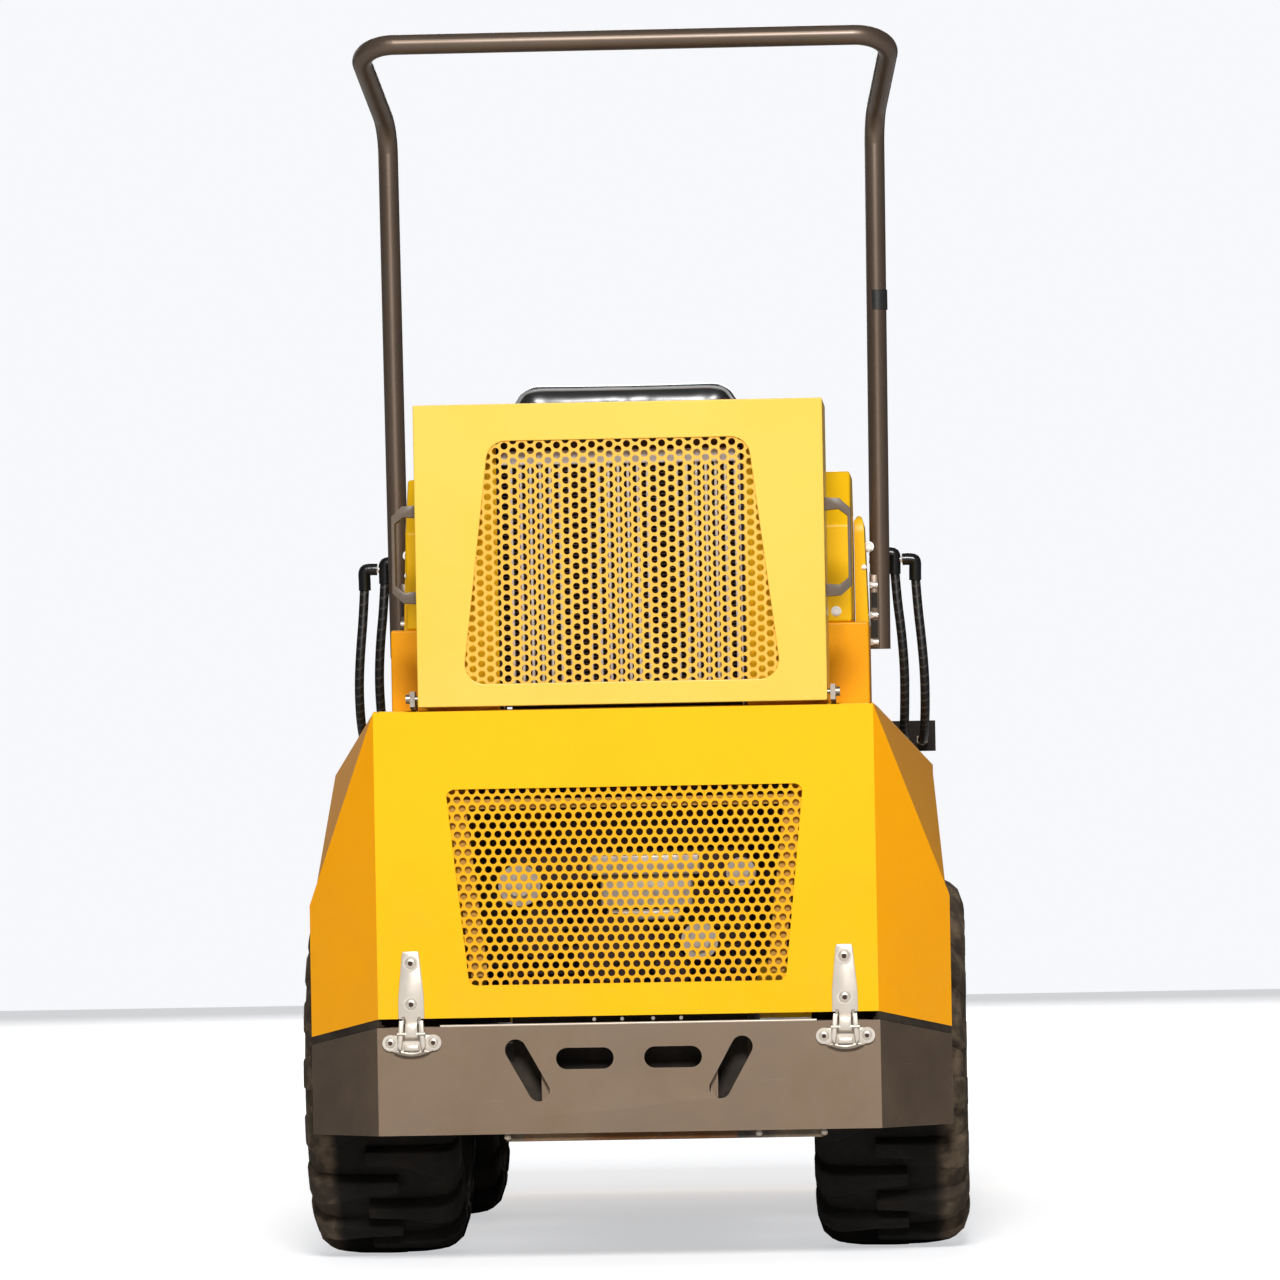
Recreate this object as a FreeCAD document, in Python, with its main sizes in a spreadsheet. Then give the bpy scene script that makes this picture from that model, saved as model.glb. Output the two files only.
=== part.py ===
"""Mini wheel loader: parametric document, millimetres, +X right, +Y forward, +Z up.

The origin is on the ground below the middle of the machine. Each sub-part is an
object whose sizes are bound to the sheet "dims", and is written to parts/LABEL.step.
"""
import FreeCAD, Part
import Sketcher
import math
import os

Vector = FreeCAD.Vector
ALONG_X = FreeCAD.Rotation(Vector(0, 1, 0), 90)
ALONG_Y = FreeCAD.Rotation(Vector(1, 0, 0), -90)
UPRIGHT = FreeCAD.Rotation()

# Driving dimensions. "back" is measured backwards and "ahead" forwards from the pivot.
DIMENSIONS = {
    # layout
    "pivot_y": -225.65, "rear_face_back": 1020, "rear_axle_back": 550, "front_axle_ahead": 550,
    "running_gap": 5, "pin_gap": 0.5,
    # wheels
    "tyre_radius": 300, "tyre_width": 262, "tyre_bead": 152, "tyre_sides": 32,
    "lug_inner_half": 14, "lug_outer_half": 29, "lug_over": 28, "lug_slant": 9, "lug_drop": 0.57,
    "lug_root": 36, "lug_low": 66, "lug_fall": 4, "lug_bend": 27, "lug_foot": 16,
    "track_half": 417, "rim_radius": 152, "rim_half": 95,
    "rim_wall": 8, "hub_radius": 70, "hub_reach": 60, "axle_radius": 48,
    "flange_radius": 88, "flange_wall": 16,
    # chassis of the rear half
    "chassis_half": 190, "chassis_wall": 12, "chassis_low": 216, "chassis_top": 424,
    "chassis_back": 960, "ear_wall": 18, "ear_radius": 70, "pivot_pin_radius": 24,
    "cross_plate": 120, "belly_half": 175, "belly_wall": 8, "deck_post": 40,
    # engine door and the flared corners
    "door_half": 403, "door_low": 404, "door_top": 898, "door_wall": 4,
    "flare_half": 520, "flare_depth": 117, "flare_low": 374, "flare_top": 587,
    "door_grille_top": 288, "door_grille_low": 255, "door_grille_base": 456,
    "door_grille_high": 316, "door_grille_round": 13, "grille_wall": 3, "grille_lap": 10,
    # bumper
    "bumper_half": 405, "bumper_low": 216, "bumper_top": 390, "bumper_wall": 6,
    "bumper_lip": 34, "wing_drop": 29, "slot_centre": 71, "slot_long": 93, "slot_high": 34.6,
    "slot_z": 336, "slant_x": 164, "slant_z": 318, "slant_long": 110, "slant_angle": 61,
    # deck, fenders and side boxes
    "deck_top": 900, "deck_wall": 4, "deck_half": 397, "deck_back_gap": 40,
    "deck_length": 790, "bay_half": 272, "bay_wall": 4, "bay_low": 428, "bay_flange": 340,
     "fender_half": 495, "fender_inner": 402, "fender_flange": 27,
    "fender_z": 798, "fender_peak": 390,
    "fender_wall": 4, "fender_end": 830, "skirt_high": 46,
    "console_inner": 262, "console_outer": 368, "console_back": 330, "console_end": 745,
    "console_bend": 1197, "console_top": 1288, "console_slope": 90, "console_seam": 1036,
    "tank_outer": 395, "tank_end": 605,
    # cooler cover
    "cover_half": 330, "cover_low": 905, "cover_top": 1392, "cover_deep": 296,
    "cover_wall": 4, "cover_grille_low": 257, "cover_grille_top": 209,
    "cover_grille_base": 941, "cover_grille_high": 391, "cover_grille_round": 32,
    "cover_pin_y": 14, "cover_pin_z": 919, "cover_pin_radius": 4, "cover_lug": 8,
    "cooler_half": 195, "cooler_deep": 70, "cooler_gap": 56, "cooler_low": 915,
    "cooler_high": 420, "baffle_gap": 12, "baffle_wall": 3, "baffle_top": 1352,
    "handle_z": 1153, "handle_high": 160, "handle_off": 42, "handle_arm": 19,
    "handle_deep": 40, "handle_wall": 6, "handle_back": 60, "handle_slope": 22,
    # roll bar
    "rops_tube": 17, "rops_back": 780, "rops_foot": 997, "rops_foot_x": 410,
    "rops_kink_x": 416, "rops_kink": 1902, "rops_bar_x": 450, "rops_bar_back": 530,
    "rops_top": 2023, "rops_bend": 56, "rops_kink_bend": 70, "flange_low": 1000,
    "flange_top": 1128, "flange_half": 8,
    "fin_wall": 23, "fin_top": 1225, "fin_long": 205, "fin_ahead": 45, "fin_round": 36,
    # seat and controls
    "seat_half": 225, "seat_y": 350, "seat_deep": 440, "cushion_low": 930, "cushion_high": 95,
    "back_low": 1035, "back_high": 400, "back_thick": 95, "back_lean": 7, "back_top_half": 180,
    "seat_box_half": 200, "floor_low": 470, "floor_wall": 6, "floor_half": 278,
    "floor_ahead": 45, "floor_back": 330, "column_radius": 22, "column_lean": 12,
    "column_long": 640, "column_rise": 6, "column_ahead": 10, "wheel_ring": 160, "wheel_grip": 13,
    "wheel_hub_high": 26, "wheel_spoke_half": 12, "wheel_spoke_wall": 8,
    "lever_high": 82, "lever_knob": 17, "lever_rod": 6, "lever_back": 600, "lever_pitch": 60,
    "lever_inset": 36,
    # engine
    "engine_half": 205, "engine_low": 440, "engine_high": 370, "engine_gap": 95,
    "engine_deep": 470,
    # front half
    "front_half": 150, "front_low": 216, "front_top": 372, "front_wall": 12,
    "front_back": 110, "front_end": 720, "tower_inner": 50, "tower_wall": 12,
    "boom_pin_ahead": 260, "boom_pin_z": 1000, "boom_pin_radius": 20,
    "tower_back": 205, "tower_end": 590, "tower_round": 62,
    # boom, set at its angle below the level
    "boom_angle": 42, "boom_length": 1050, "boom_half": 42, "boom_wall": 12,
    "boom_deep": 120, "boom_plate": 10, "boom_eye": 46,
    # each cylinder shows its rod for "show" and keeps its inner end "bury" from the foot pin
    "lift_foot_ahead": 110, "lift_foot_z": 440, "lift_pin_along": 279, "lift_pin_drop": 20,
    "lift_barrel": 34, "lift_show": 96.7, "lift_rod": 16, "lift_bury": 71.7,
    "eye_radius": 27, "eye_half": 19, "eye_pin": 12,
    # tilt cylinder, on top of the boom
    "tilt_foot_along": 440, "tilt_foot_rise": 95, "tilt_ear_rise": 150,
    "tilt_barrel": 26, "tilt_show": 104.9, "tilt_rod": 12, "tilt_bury": 139.9,
    # steering cylinder, lying in the rear chassis
    "steer_pin_x": 150, "steer_foot_x": 132, "steer_foot_back": 430, "steer_z": 330,
    "steer_barrel": 22, "steer_show": 168.4, "steer_rod": 11, "steer_bury": 135.4,
    # bucket, from its pin at the boom's tip
    "bucket_half": 500, "bucket_wall": 8, "bucket_floor": 120, "bucket_heel": 130,
    "bucket_lip": 430, "bucket_back": 70, "bucket_back_top": 80, "bucket_high": 260,
    "bucket_side_top": 150, "bucket_ear_wall": 12, "bucket_ear_gap": 50,
    "edge_deep": 70, "edge_wall": 14,
    # door hinges
    "hinge_x": 349, "hinge_axis_z": 379, "hinge_axis_off": 11, "hinge_radius": 8,
    "hinge_half": 24, "strap_high": 110, "strap_wall": 4, "hinge_plate_half": 46,
    "hinge_plate_low": 347,
    # hoses
    "hose_radius": 8, "elbow_radius": 10.5, "elbow_leg": 24, "elbow_bend": 16,
    "nipple_radius": 7, "hose_nut": 20, "hose_plate_wall": 6, "hose_arm_x": 418,
    "hose_arm_low": 822, "hose_plate_far": 500,
}

doc = FreeCAD.newDocument("mini_wheel_loader")
dims = doc.addObject("Spreadsheet::Sheet", "dims")
for row, (alias, number) in enumerate(DIMENSIONS.items(), start=1):
    dims.set(f"A{row}", alias)
    dims.set(f"B{row}", str(number))
    dims.setAlias(f"B{row}", alias)
doc.recompute()

# Places along the machine, as expressions of the sheet's cells.
pivot_y = "dims.pivot_y"
rear_y = "(dims.pivot_y - dims.rear_face_back)"
rear_axle_y = "(dims.pivot_y - dims.rear_axle_back)"
front_axle_y = "(dims.pivot_y + dims.front_axle_ahead)"
boom_pin_y = "(dims.pivot_y + dims.boom_pin_ahead)"
bucket_pin_y = f"({boom_pin_y} + dims.boom_length * cos(dims.boom_angle))"
bucket_pin_z = "(dims.boom_pin_z - dims.boom_length * sin(dims.boom_angle))"

sub_parts = []


def value(text):
    """Number that an expression of the sheet's cells gives."""
    return float(dims.evalExpression(text))


def place(item, at, rotation=UPRIGHT, angle=None):
    """Bind an object's base point, and its angle where that is a size."""
    item.Placement = FreeCAD.Placement(Vector(), rotation)
    if angle:
        item.setExpression(".Placement.Rotation.Angle", angle)
    for axis, text in zip("xyz", at):
        item.setExpression(f".Placement.Base.{axis}", text)
    return item


def box(name, size, at, rotation=UPRIGHT, angle=None):
    item = doc.addObject("Part::Box", name)
    for side, text in zip(("Length", "Width", "Height"), size):
        item.setExpression(side, text)
    return place(item, at, rotation, angle)


def rod(name, radius, length, at, rotation=ALONG_X):
    item = doc.addObject("Part::Cylinder", name)
    item.setExpression("Radius", radius)
    item.setExpression("Height", length)
    return place(item, at, rotation)


def sketch_on(body, plane, name):
    sketch = body.newObject("Sketcher::SketchObject", name)
    origin = [item for item in body.Origin.OriginFeatures if item.Role == plane][0]
    sketch.AttachmentSupport = [(origin, "")]
    sketch.MapMode = "FlatFace"
    return sketch


def hold_point(sketch, geometry, point, at):
    """Hold one sketch point at bound distances from the sketch's origin."""
    for kind, text in zip(("DistanceX", "DistanceY"), at):
        index = sketch.addConstraint(
            Sketcher.Constraint(kind, -1, 1, geometry, point, value(text)))
        sketch.setExpression(f"Constraints[{index}]", text)


def draw_outline(sketch, corners):
    points = [Vector(value(across), value(up), 0) for across, up in corners]
    count = len(points)
    first = sketch.GeometryCount
    lines = [Part.LineSegment(points[i], points[(i + 1) % count]) for i in range(count)]
    sketch.addGeometry(lines, False)
    for i in range(count):
        sketch.addConstraint(
            Sketcher.Constraint("Coincident", first + i, 2, first + (i + 1) % count, 1))
    for i, corner in enumerate(corners):
        hold_point(sketch, first + i, 1, corner)


def draw_hole(sketch, centre, radius):
    circle = Part.Circle(Vector(value(centre[0]), value(centre[1]), 0),
                         Vector(0, 0, 1), value(radius))
    index = sketch.addGeometry(circle, False)
    hold_point(sketch, index, 3, centre)
    limit = sketch.addConstraint(Sketcher.Constraint("Radius", index, value(radius)))
    sketch.setExpression(f"Constraints[{limit}]", radius)


def prism(name, plane, corners, depth, at=("0", "0", "0"), angle=None, middle=False,
          holes=()):
    """Body padded from an outline; YZ pads run to +X, XY to +Z, XZ to -Y."""
    body = doc.addObject("PartDesign::Body", name)
    sketch = sketch_on(body, plane, f"{name}_outline")
    draw_outline(sketch, corners)
    for centre, radius in holes:
        draw_hole(sketch, centre, radius)
    pad = body.newObject("PartDesign::Pad", f"{name}_pad")
    pad.Profile = sketch
    pad.Midplane = middle
    pad.setExpression("Length", depth)
    turn = FreeCAD.Rotation(Vector(1, 0, 0), 1) if angle else UPRIGHT
    return place(body, at, turn, angle)


def turned(name, profile, at, rotation=UPRIGHT):
    """Body spun about its own X axis from a profile of (along, radius) corners."""
    body = doc.addObject("PartDesign::Body", name)
    sketch = sketch_on(body, "XY_Plane", f"{name}_profile")
    draw_outline(sketch, profile)
    spin = body.newObject("PartDesign::Revolution", f"{name}_spin")
    spin.Profile = sketch
    spin.ReferenceAxis = (sketch, ["H_Axis"])
    spin.Angle = 360
    return place(body, at, rotation)


def fuse(name, items):
    item = doc.addObject("Part::MultiFuse", name)
    item.Shapes = items
    item.Refine = True
    return item


def cut(name, base, tool):
    item = doc.addObject("Part::Cut", name)
    item.Base = base
    item.Tool = tool
    item.Refine = True
    return item


def common(name, items):
    item = doc.addObject("Part::MultiCommon", name)
    item.Shapes = items
    item.Refine = True
    return item


def keep(item, label):
    """Mark an object as a sub-part; its label names its file."""
    item.Label = label
    sub_parts.append(item)
    return item


def computed(name, shape):
    item = doc.addObject("Part::Feature", name)
    item.Shape = shape
    return item


def compound_of(name, items):
    """Like pieces of one body that do not touch."""
    item = doc.addObject("Part::Compound", name)
    item.Links = items
    return item


def window(name, corners, radius, depth):
    """Cutter across the rear face with rounded corners."""
    start = value(rear_y) - depth / 2
    points = [Vector(value(across), start, value(up)) for across, up in corners]
    middle = (points[0] + points[-1]) * 0.5
    ring = rounded_wire([middle] + points + [middle], [value(radius)] * len(points))
    return computed(name, Part.Face(ring).extrude(Vector(0, depth, 0)))


def mirrored_box(name, size, near_x, at_y, at_z):
    """Two like boxes, one each side; near_x is the inner side's distance."""
    right = box(f"{name}_right", size, (near_x, at_y, at_z))
    left = box(f"{name}_left", size, (f"-({near_x}) - ({size[0]})", at_y, at_z))
    return [right, left]


def flared_wall(name, inner_half, top, low, outer_top, outer_low, wall):
    """Wall across the rear with both corners swept forward at 45 degrees."""
    flare = "dims.flare_depth"
    side = "dims.flare_half"
    fold = f"({wall} * 0.4142)"
    plan = [(f"-{side}", flare), (f"-({inner_half})", "0"), (inner_half, "0"), (side, flare),
            (f"{side} - {wall}", f"{flare} + {wall} * 0.4142"),
            (f"{inner_half} - {fold}", wall), (f"-({inner_half} - {fold})", wall),
            (f"-({side} - {wall})", f"{flare} + {wall} * 0.4142")]
    footprint = prism(f"{name}_plan", "XY_Plane", plan, f"{top} + 60", ("0", rear_y, "0"))
    face = [(f"-({inner_half})", low), (inner_half, low), (side, outer_low),
            (side, outer_top), (inner_half, top), (f"-({inner_half})", top),
            (f"-{side}", outer_top), (f"-{side}", outer_low)]
    front = prism(f"{name}_face", "XZ_Plane", face, "2 * dims.flare_depth + 200",
                  ("0", f"{rear_y} + dims.flare_depth + 80", "0"))
    return common(f"{name}_wall", [footprint, front])


def slanted_slot(name, side):
    """Obround cutter through the bumper, leaning outwards at the top."""
    half = f"(dims.slant_long - dims.slot_high) / 2"
    run_x = f"({half} * cos(dims.slant_angle))"
    run_z = f"({half} * sin(dims.slant_angle))"
    ends = []
    for index, way in enumerate((1, -1)):
        ends.append(rod(f"{name}_end{index}", "dims.slot_high / 2", "dims.bumper_wall + 20",
                        (f"{side} * (dims.slant_x + {way} * {run_x})", f"{rear_y} - 10",
                         f"dims.slant_z + {way} * {run_z}"), ALONG_Y))
    r = "dims.slot_high / 2"
    nx = f"({r} * sin(dims.slant_angle))"
    nz = f"({r} * cos(dims.slant_angle))"
    corners = [(f"{side} * (dims.slant_x + {a} * {run_x} + {b} * {nx})",
                f"dims.slant_z + {a} * {run_z} - {b} * {nz}")
               for a, b in ((1, 1), (1, -1), (-1, -1), (-1, 1))]
    middle = prism(f"{name}_middle", "XZ_Plane", corners, "dims.bumper_wall + 20",
                   ("0", f"{rear_y} + dims.bumper_wall + 10", "0"))
    return ends + [middle]


def level_slot(name, side):
    """Obround cutter through the bumper, lying level."""
    straight = "(dims.slot_long - dims.slot_high)"
    pieces = [box(f"{name}_middle", (straight, "dims.bumper_wall + 20", "dims.slot_high"),
                  (f"{side} * dims.slot_centre - {straight} / 2", f"{rear_y} - 10",
                   "dims.slot_z - dims.slot_high / 2"))]
    for index, way in enumerate((1, -1)):
        pieces.append(rod(f"{name}_end{index}", "dims.slot_high / 2", "dims.bumper_wall + 20",
                          (f"{side} * dims.slot_centre + {way} * {straight} / 2",
                           f"{rear_y} - 10", "dims.slot_z"), ALONG_Y))
    return pieces


def make_rear_frame():
    """Side plates, belly, cross plates and the forked ears of the articulation."""
    wall = "dims.chassis_wall"
    back = f"({pivot_y} - dims.chassis_back)"
    ahead = "(dims.ear_radius + 75)"
    side_outline = [("0", "dims.chassis_low"), (f"dims.chassis_back - {ahead}", "dims.chassis_low"),
                    (f"dims.chassis_back - {ahead}", "dims.chassis_top"), ("0", "dims.chassis_top")]
    axle_hole = (("dims.chassis_back - dims.rear_axle_back", "dims.tyre_radius"),
                 "dims.axle_radius + dims.pin_gap")
    sides = []
    for side, x in (("right", f"dims.chassis_half - {wall}"), ("left", "-dims.chassis_half")):
        sides.append(prism(f"chassis_side_{side}", "YZ_Plane", side_outline, wall,
                           (x, back, "0"), holes=[axle_hole]))
    inner = f"(dims.chassis_half - {wall})"
    high = "(dims.chassis_top - dims.chassis_low)"
    belly = box("chassis_belly", (f"2 * {inner}", f"dims.chassis_back - {ahead}",
                                  "dims.belly_wall"), (f"-{inner}", back, "dims.chassis_low"))
    tail = box("chassis_tail", (f"2 * {inner}", wall, high), (f"-{inner}", back, "dims.chassis_low"))
    cross = box("chassis_cross", (f"2 * {inner}", wall, high),
                (f"-{inner}", f"{rear_axle_y} - dims.cross_plate", "dims.chassis_low"))
    nose = box("chassis_nose", (f"2 * {inner}", wall, "dims.cross_plate / 2"),
               (f"-{inner}", f"{pivot_y} - {ahead} - {wall}", "dims.chassis_low"))
    ears = []
    for name, z in (("low", "dims.chassis_low"), ("top", "dims.chassis_top - dims.ear_wall")):
        root_half = f"(dims.chassis_half - {wall})"
        outline = [(f"-{root_half}", f"-({ahead} + 60)"), (root_half, f"-({ahead} + 60)"),
                   (root_half, f"-{ahead}"), ("dims.ear_radius", "0"),
                   ("dims.ear_radius * 0.7", "dims.ear_radius * 0.7"),
                   ("-dims.ear_radius * 0.7", "dims.ear_radius * 0.7"),
                   ("-dims.ear_radius", "0"), (f"-{root_half}", f"-{ahead}")]
        ears.append(prism(f"pivot_ear_{name}", "XY_Plane", outline, "dims.ear_wall",
                          ("0", pivot_y, z), holes=[(("0", "0"), "dims.pivot_pin_radius")]))
    steer_lug = box("steer_foot_lug", ("44", "30", "14"),
                    ("dims.steer_foot_x - 22", f"{pivot_y} - dims.steer_foot_back - 15",
                     "dims.steer_z - dims.eye_half - 16"))
    steer_post = box("steer_foot_post", ("44", "30", "dims.steer_z - dims.eye_half - 16"
                                         " - dims.chassis_low - dims.belly_wall"),
                     ("dims.steer_foot_x - 22", f"{pivot_y} - dims.steer_foot_back - 15",
                      "dims.chassis_low + dims.belly_wall"))
    frame = fuse("rear_chassis", sides + [belly, tail, cross, nose, steer_lug, steer_post] + ears)
    keep(frame, "rear_frame")


def make_pivot_pin():
    low = "(dims.chassis_low - 14)"
    shaft = rod("pivot_shaft", "dims.pivot_pin_radius", f"dims.chassis_top + 14 - {low}",
                ("0", pivot_y, low), UPRIGHT)
    cap = rod("pivot_cap", "dims.pivot_pin_radius + 14", "12",
              ("0", pivot_y, "dims.chassis_top"), UPRIGHT)
    nut = rod("pivot_nut", "dims.pivot_pin_radius + 10", "10",
              ("0", pivot_y, "dims.chassis_low - 10"), UPRIGHT)
    keep(fuse("pivot_pin_set", [shaft, cap, nut]), "pivot_pin")


def make_bumper():
    wall = flared_wall("bumper", "dims.bumper_half", "dims.bumper_top", "dims.bumper_low",
                       "(dims.bumper_top - dims.wing_drop)", "dims.bumper_low",
                       "dims.bumper_wall")
    lip = box("bumper_lip_sheet", ("2 * dims.bumper_half - 40", "dims.bumper_lip",
                                   "dims.bumper_wall"),
              ("-dims.bumper_half + 20", f"{rear_y} + 2", "dims.bumper_top - dims.bumper_wall"))
    bracket = mirrored_box("bumper_bracket", ("12", "dims.rear_face_back - dims.chassis_back"
                                              " - dims.bumper_wall", "140"),
                           "dims.chassis_half - 60", f"{rear_y} + dims.bumper_wall",
                           "dims.bumper_low + 10")
    slots = (slanted_slot("slant_right", 1) + slanted_slot("slant_left", -1)
             + level_slot("level_right", 1) + level_slot("level_left", -1))
    keep(cut("bumper_sheet", fuse("bumper_blank", [wall, lip] + bracket),
             fuse("bumper_slots", slots)), "rear_bumper")


def make_axle(label, axle_y):
    """Axle tube between the hub motors, with a flange at each end."""
    inside = "(dims.track_half - dims.hub_reach - dims.rim_wall - dims.running_gap)"
    tube = rod(f"{label}_tube", "dims.axle_radius", f"2 * {inside}",
               (f"-{inside}", axle_y, "dims.tyre_radius"))
    pads = []
    for side, x in (("right", f"{inside} - dims.flange_wall"), ("left", f"-{inside}")):
        pads.append(rod(f"{label}_flange_{side}", "dims.flange_radius", "dims.flange_wall",
                        (x, axle_y, "dims.tyre_radius")))
    keep(fuse(f"{label}_set", [tube] + pads), label)


def make_engine():
    keep(box("engine_block", ("2 * dims.engine_half", "dims.engine_deep", "dims.engine_high"),
             ("-dims.engine_half", f"{rear_y} + dims.engine_gap", "dims.engine_low")), "engine")


def facet(points, wall):
    """Flat sheet under the polygon's outer face, thickened against its normal."""
    corners = [Vector(*point) for point in points]
    face = Part.Face(Part.makePolygon(corners + corners[:1]))
    normal = face.normalAt(0, 0)
    return face.extrude(normal * -wall)


# Hose routes on the right, from the upper elbow down and forward to the lower one;
# a smaller x lies nearer the machine. The left side mirrors them.
HOSE_ROUTES = {
    "inner": [(436, -436, 1137), (439, -436, 1085), (446, -434, 1026), (450, -427, 962),
              (449, -406, 903), (447, -370, 858), (446, -318, 842), (445, -270, 842)],
    "outer": [(471, -436, 1126), (474, -437, 1072), (480, -438, 1012), (484, -434, 954),
              (484, -418, 900), (482, -384, 862), (479, -330, 842), (477, -270, 842)],
}


def make_fenders():
    """Rear wings: leaning side facet, sloping top and a skirt along each outer edge."""
    rear = value(rear_y)
    deck, half = value("dims.deck_top"), value("dims.fender_inner")
    out, low, wall = value("dims.fender_half"), value("dims.fender_z"), value("dims.fender_wall")
    flare_x = value("dims.flare_half") - value("dims.running_gap")
    flare_y = rear + value("dims.flare_depth") + 2 * value("dims.running_gap")
    flare_z, peak = value("dims.flare_top"), rear + value("dims.fender_peak")
    end, skirt = rear + value("dims.fender_end"), value("dims.skirt_high")
    start = rear + 3 * value("dims.running_gap")
    wings = []
    for side in (1, -1):
        corner = (side * half, start, deck)
        fold = (side * flare_x, flare_y, flare_z)
        crest = (side * out, peak, low)
        inner = (side * half, peak, deck)
        outline = [
            [corner, fold, crest],
            [corner, crest, inner],
            [inner, crest, (side * out, end, low), (side * half, end, deck)],
            [crest, (side * out, peak, low - skirt), (side * out, end, low - skirt),
             (side * out, end, low)],
        ]
        sheets = []
        for points in outline:
            if side < 0:
                points = points[::-1]
            sheet = facet(points, wall)
            sheets.append(sheet)
        flange = value("dims.fender_flange")
        near = half - flange if side > 0 else -(half + 1)
        sheets.append(Part.makeBox(flange + 1, end - start, wall,
                                   Vector(near, start, deck - value("dims.deck_wall") - wall)))
        arm, wide = value("dims.hose_plate_wall"), value("dims.hose_plate_far")
        near, foot = value("dims.hose_arm_x"), value("dims.hose_arm_low")
        face = HOSE_ROUTES["inner"][-1][1] + value("dims.hose_nut")
        slope = (deck - value("dims.fender_z")) / (out - half)
        under = deck - slope * (near + arm - half) - 1
        left = near if side > 0 else -near - arm
        sheets.append(Part.makeBox(arm, face - end + 30, under - foot,
                                   Vector(left, end - 30, foot)))
        left = near if side > 0 else -wide
        sheets.append(Part.makeBox(wide - near, arm, under - foot, Vector(left, face, foot)))
        shape = sheets[0].multiFuse(sheets[1:])
        wings.extend(shape.Solids)
    keep(computed("wings", Part.makeCompound(wings)), "rear_fenders")


def make_deck():
    plate = box("deck_plate", ("2 * dims.deck_half", "dims.deck_length", "dims.deck_wall"),
                ("-dims.deck_half", f"{rear_y} + dims.deck_back_gap",
                 "dims.deck_top - dims.deck_wall"))
    posts = []
    for side, x in (("right", "dims.chassis_half - dims.deck_post"), ("left", "-dims.chassis_half")):
        for end, y in (("back", f"{rear_y} + 570"), ("front", f"{rear_y} + 645")):
            posts.append(box(f"deck_post_{side}_{end}",
                             ("dims.deck_post", "dims.deck_post",
                              "dims.deck_top - dims.deck_wall - dims.chassis_top"),
                             (x, y, "dims.chassis_top")))
    near, end = f"({rear_y} + dims.deck_back_gap)", f"({pivot_y} - dims.floor_back - dims.pin_gap)"
    wall = "dims.bay_wall"
    walls = []
    for name, sign in (("right", ""), ("left", "-")):
        plan = [(f"{sign}(dims.bay_half - {wall})", near), (f"{sign}dims.bay_flange", near),
                (f"{sign}dims.bay_flange", f"{near} + {wall}"),
                (f"{sign}dims.bay_half", f"{near} + {wall}"), (f"{sign}dims.bay_half", end),
                (f"{sign}(dims.bay_half - {wall})", end)]
        walls.append(prism(f"bay_wall_{name}", "XY_Plane", plan,
                           "dims.deck_top - dims.deck_wall - dims.bay_low",
                           ("0", "0", "dims.bay_low")))
    keep(fuse("deck_set", [plate] + posts + walls), "engine_deck")


def make_side_boxes():
    """Tanks up to the seam, and the armrest consoles with sloping backs above it."""
    wide = "(dims.console_outer - dims.console_inner)"
    deep = "(dims.console_end - dims.console_back)"
    back, step, end = [f"({rear_y} + dims.{name})" for name in
                       ("console_back", "tank_end", "console_end")]
    tanks = []
    for name, sign in (("right", ""), ("left", "-")):
        plan = [(f"{sign}dims.console_inner", back), (f"{sign}dims.tank_outer", back),
                (f"{sign}dims.tank_outer", step), (f"{sign}dims.console_outer", step),
                (f"{sign}dims.console_outer", end), (f"{sign}dims.console_inner", end)]
        tanks.append(prism(f"tank_{name}", "XY_Plane", plan, "dims.console_seam - dims.deck_top",
                           ("0", "0", "dims.deck_top")))
    keep(compound_of("tank_pair", tanks), "side_tanks")
    outline = [("0", "dims.console_seam"), (deep, "dims.console_seam"),
               (deep, "dims.console_top - 60"), (f"{deep} - 60", "dims.console_top"),
               ("dims.console_slope", "dims.console_top"), ("0", "dims.console_bend")]
    consoles = []
    for side, x in (("right", "dims.console_inner"), ("left", "-dims.console_outer")):
        consoles.append(prism(f"console_{side}", "YZ_Plane", outline, wide,
                              (x, f"{rear_y} + dims.console_back", "0")))
    keep(compound_of("console_pair", consoles), "side_consoles")


def make_fins():
    """Upright mounts that the roll bar's posts bolt to, narrowing to a rounded top."""
    long, rounding, top = "dims.fin_long", "dims.fin_round", "dims.fin_top"
    side_on = [("0", "dims.deck_top"), (long, "dims.deck_top"), (long, f"{top} - {rounding}"),
               (f"{long} - {rounding} * 0.3", f"{top} - {rounding} * 0.3"),
               (f"{long} - {rounding}", top), (rounding, top),
               (f"{rounding} * 0.3", f"{top} - {rounding} * 0.3"), ("0", f"{top} - {rounding}")]
    outer, wall = "(dims.rops_foot_x - dims.rops_tube)", "dims.fin_wall"
    start = f"{rear_y} + dims.rops_back - dims.fin_long + dims.fin_ahead"
    end_on = [(f"{outer} - {wall}", "dims.deck_top"), (outer, "dims.deck_top"),
              (outer, "dims.deck_top + 110"), (f"{outer} - 6", f"{top} - 20"),
              (f"{outer} - 10", f"{top} - 6"), (f"{outer} - 16", f"{top} - 4"),
              (f"{outer} - {wall}", f"{top} - 14")]
    fins = []
    for name, sign in (("right", 1), ("left", -1)):
        near = f"{outer} - {wall} - 1" if sign > 0 else f"-{outer} - 1"
        profile = prism(f"fin_{name}_side", "YZ_Plane", side_on, f"{wall} + 2", (near, start, "0"))
        front = prism(f"fin_{name}_front", "XZ_Plane",
                      [(f"{sign} * ({across})", up) for across, up in end_on], f"{long} + 20",
                      ("0", f"{start} + {long} + 10", "0"))
        fins.append(common(f"fin_{name}", [profile, front]))
    keep(compound_of("fin_pair", fins), "rops_mounts")


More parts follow.
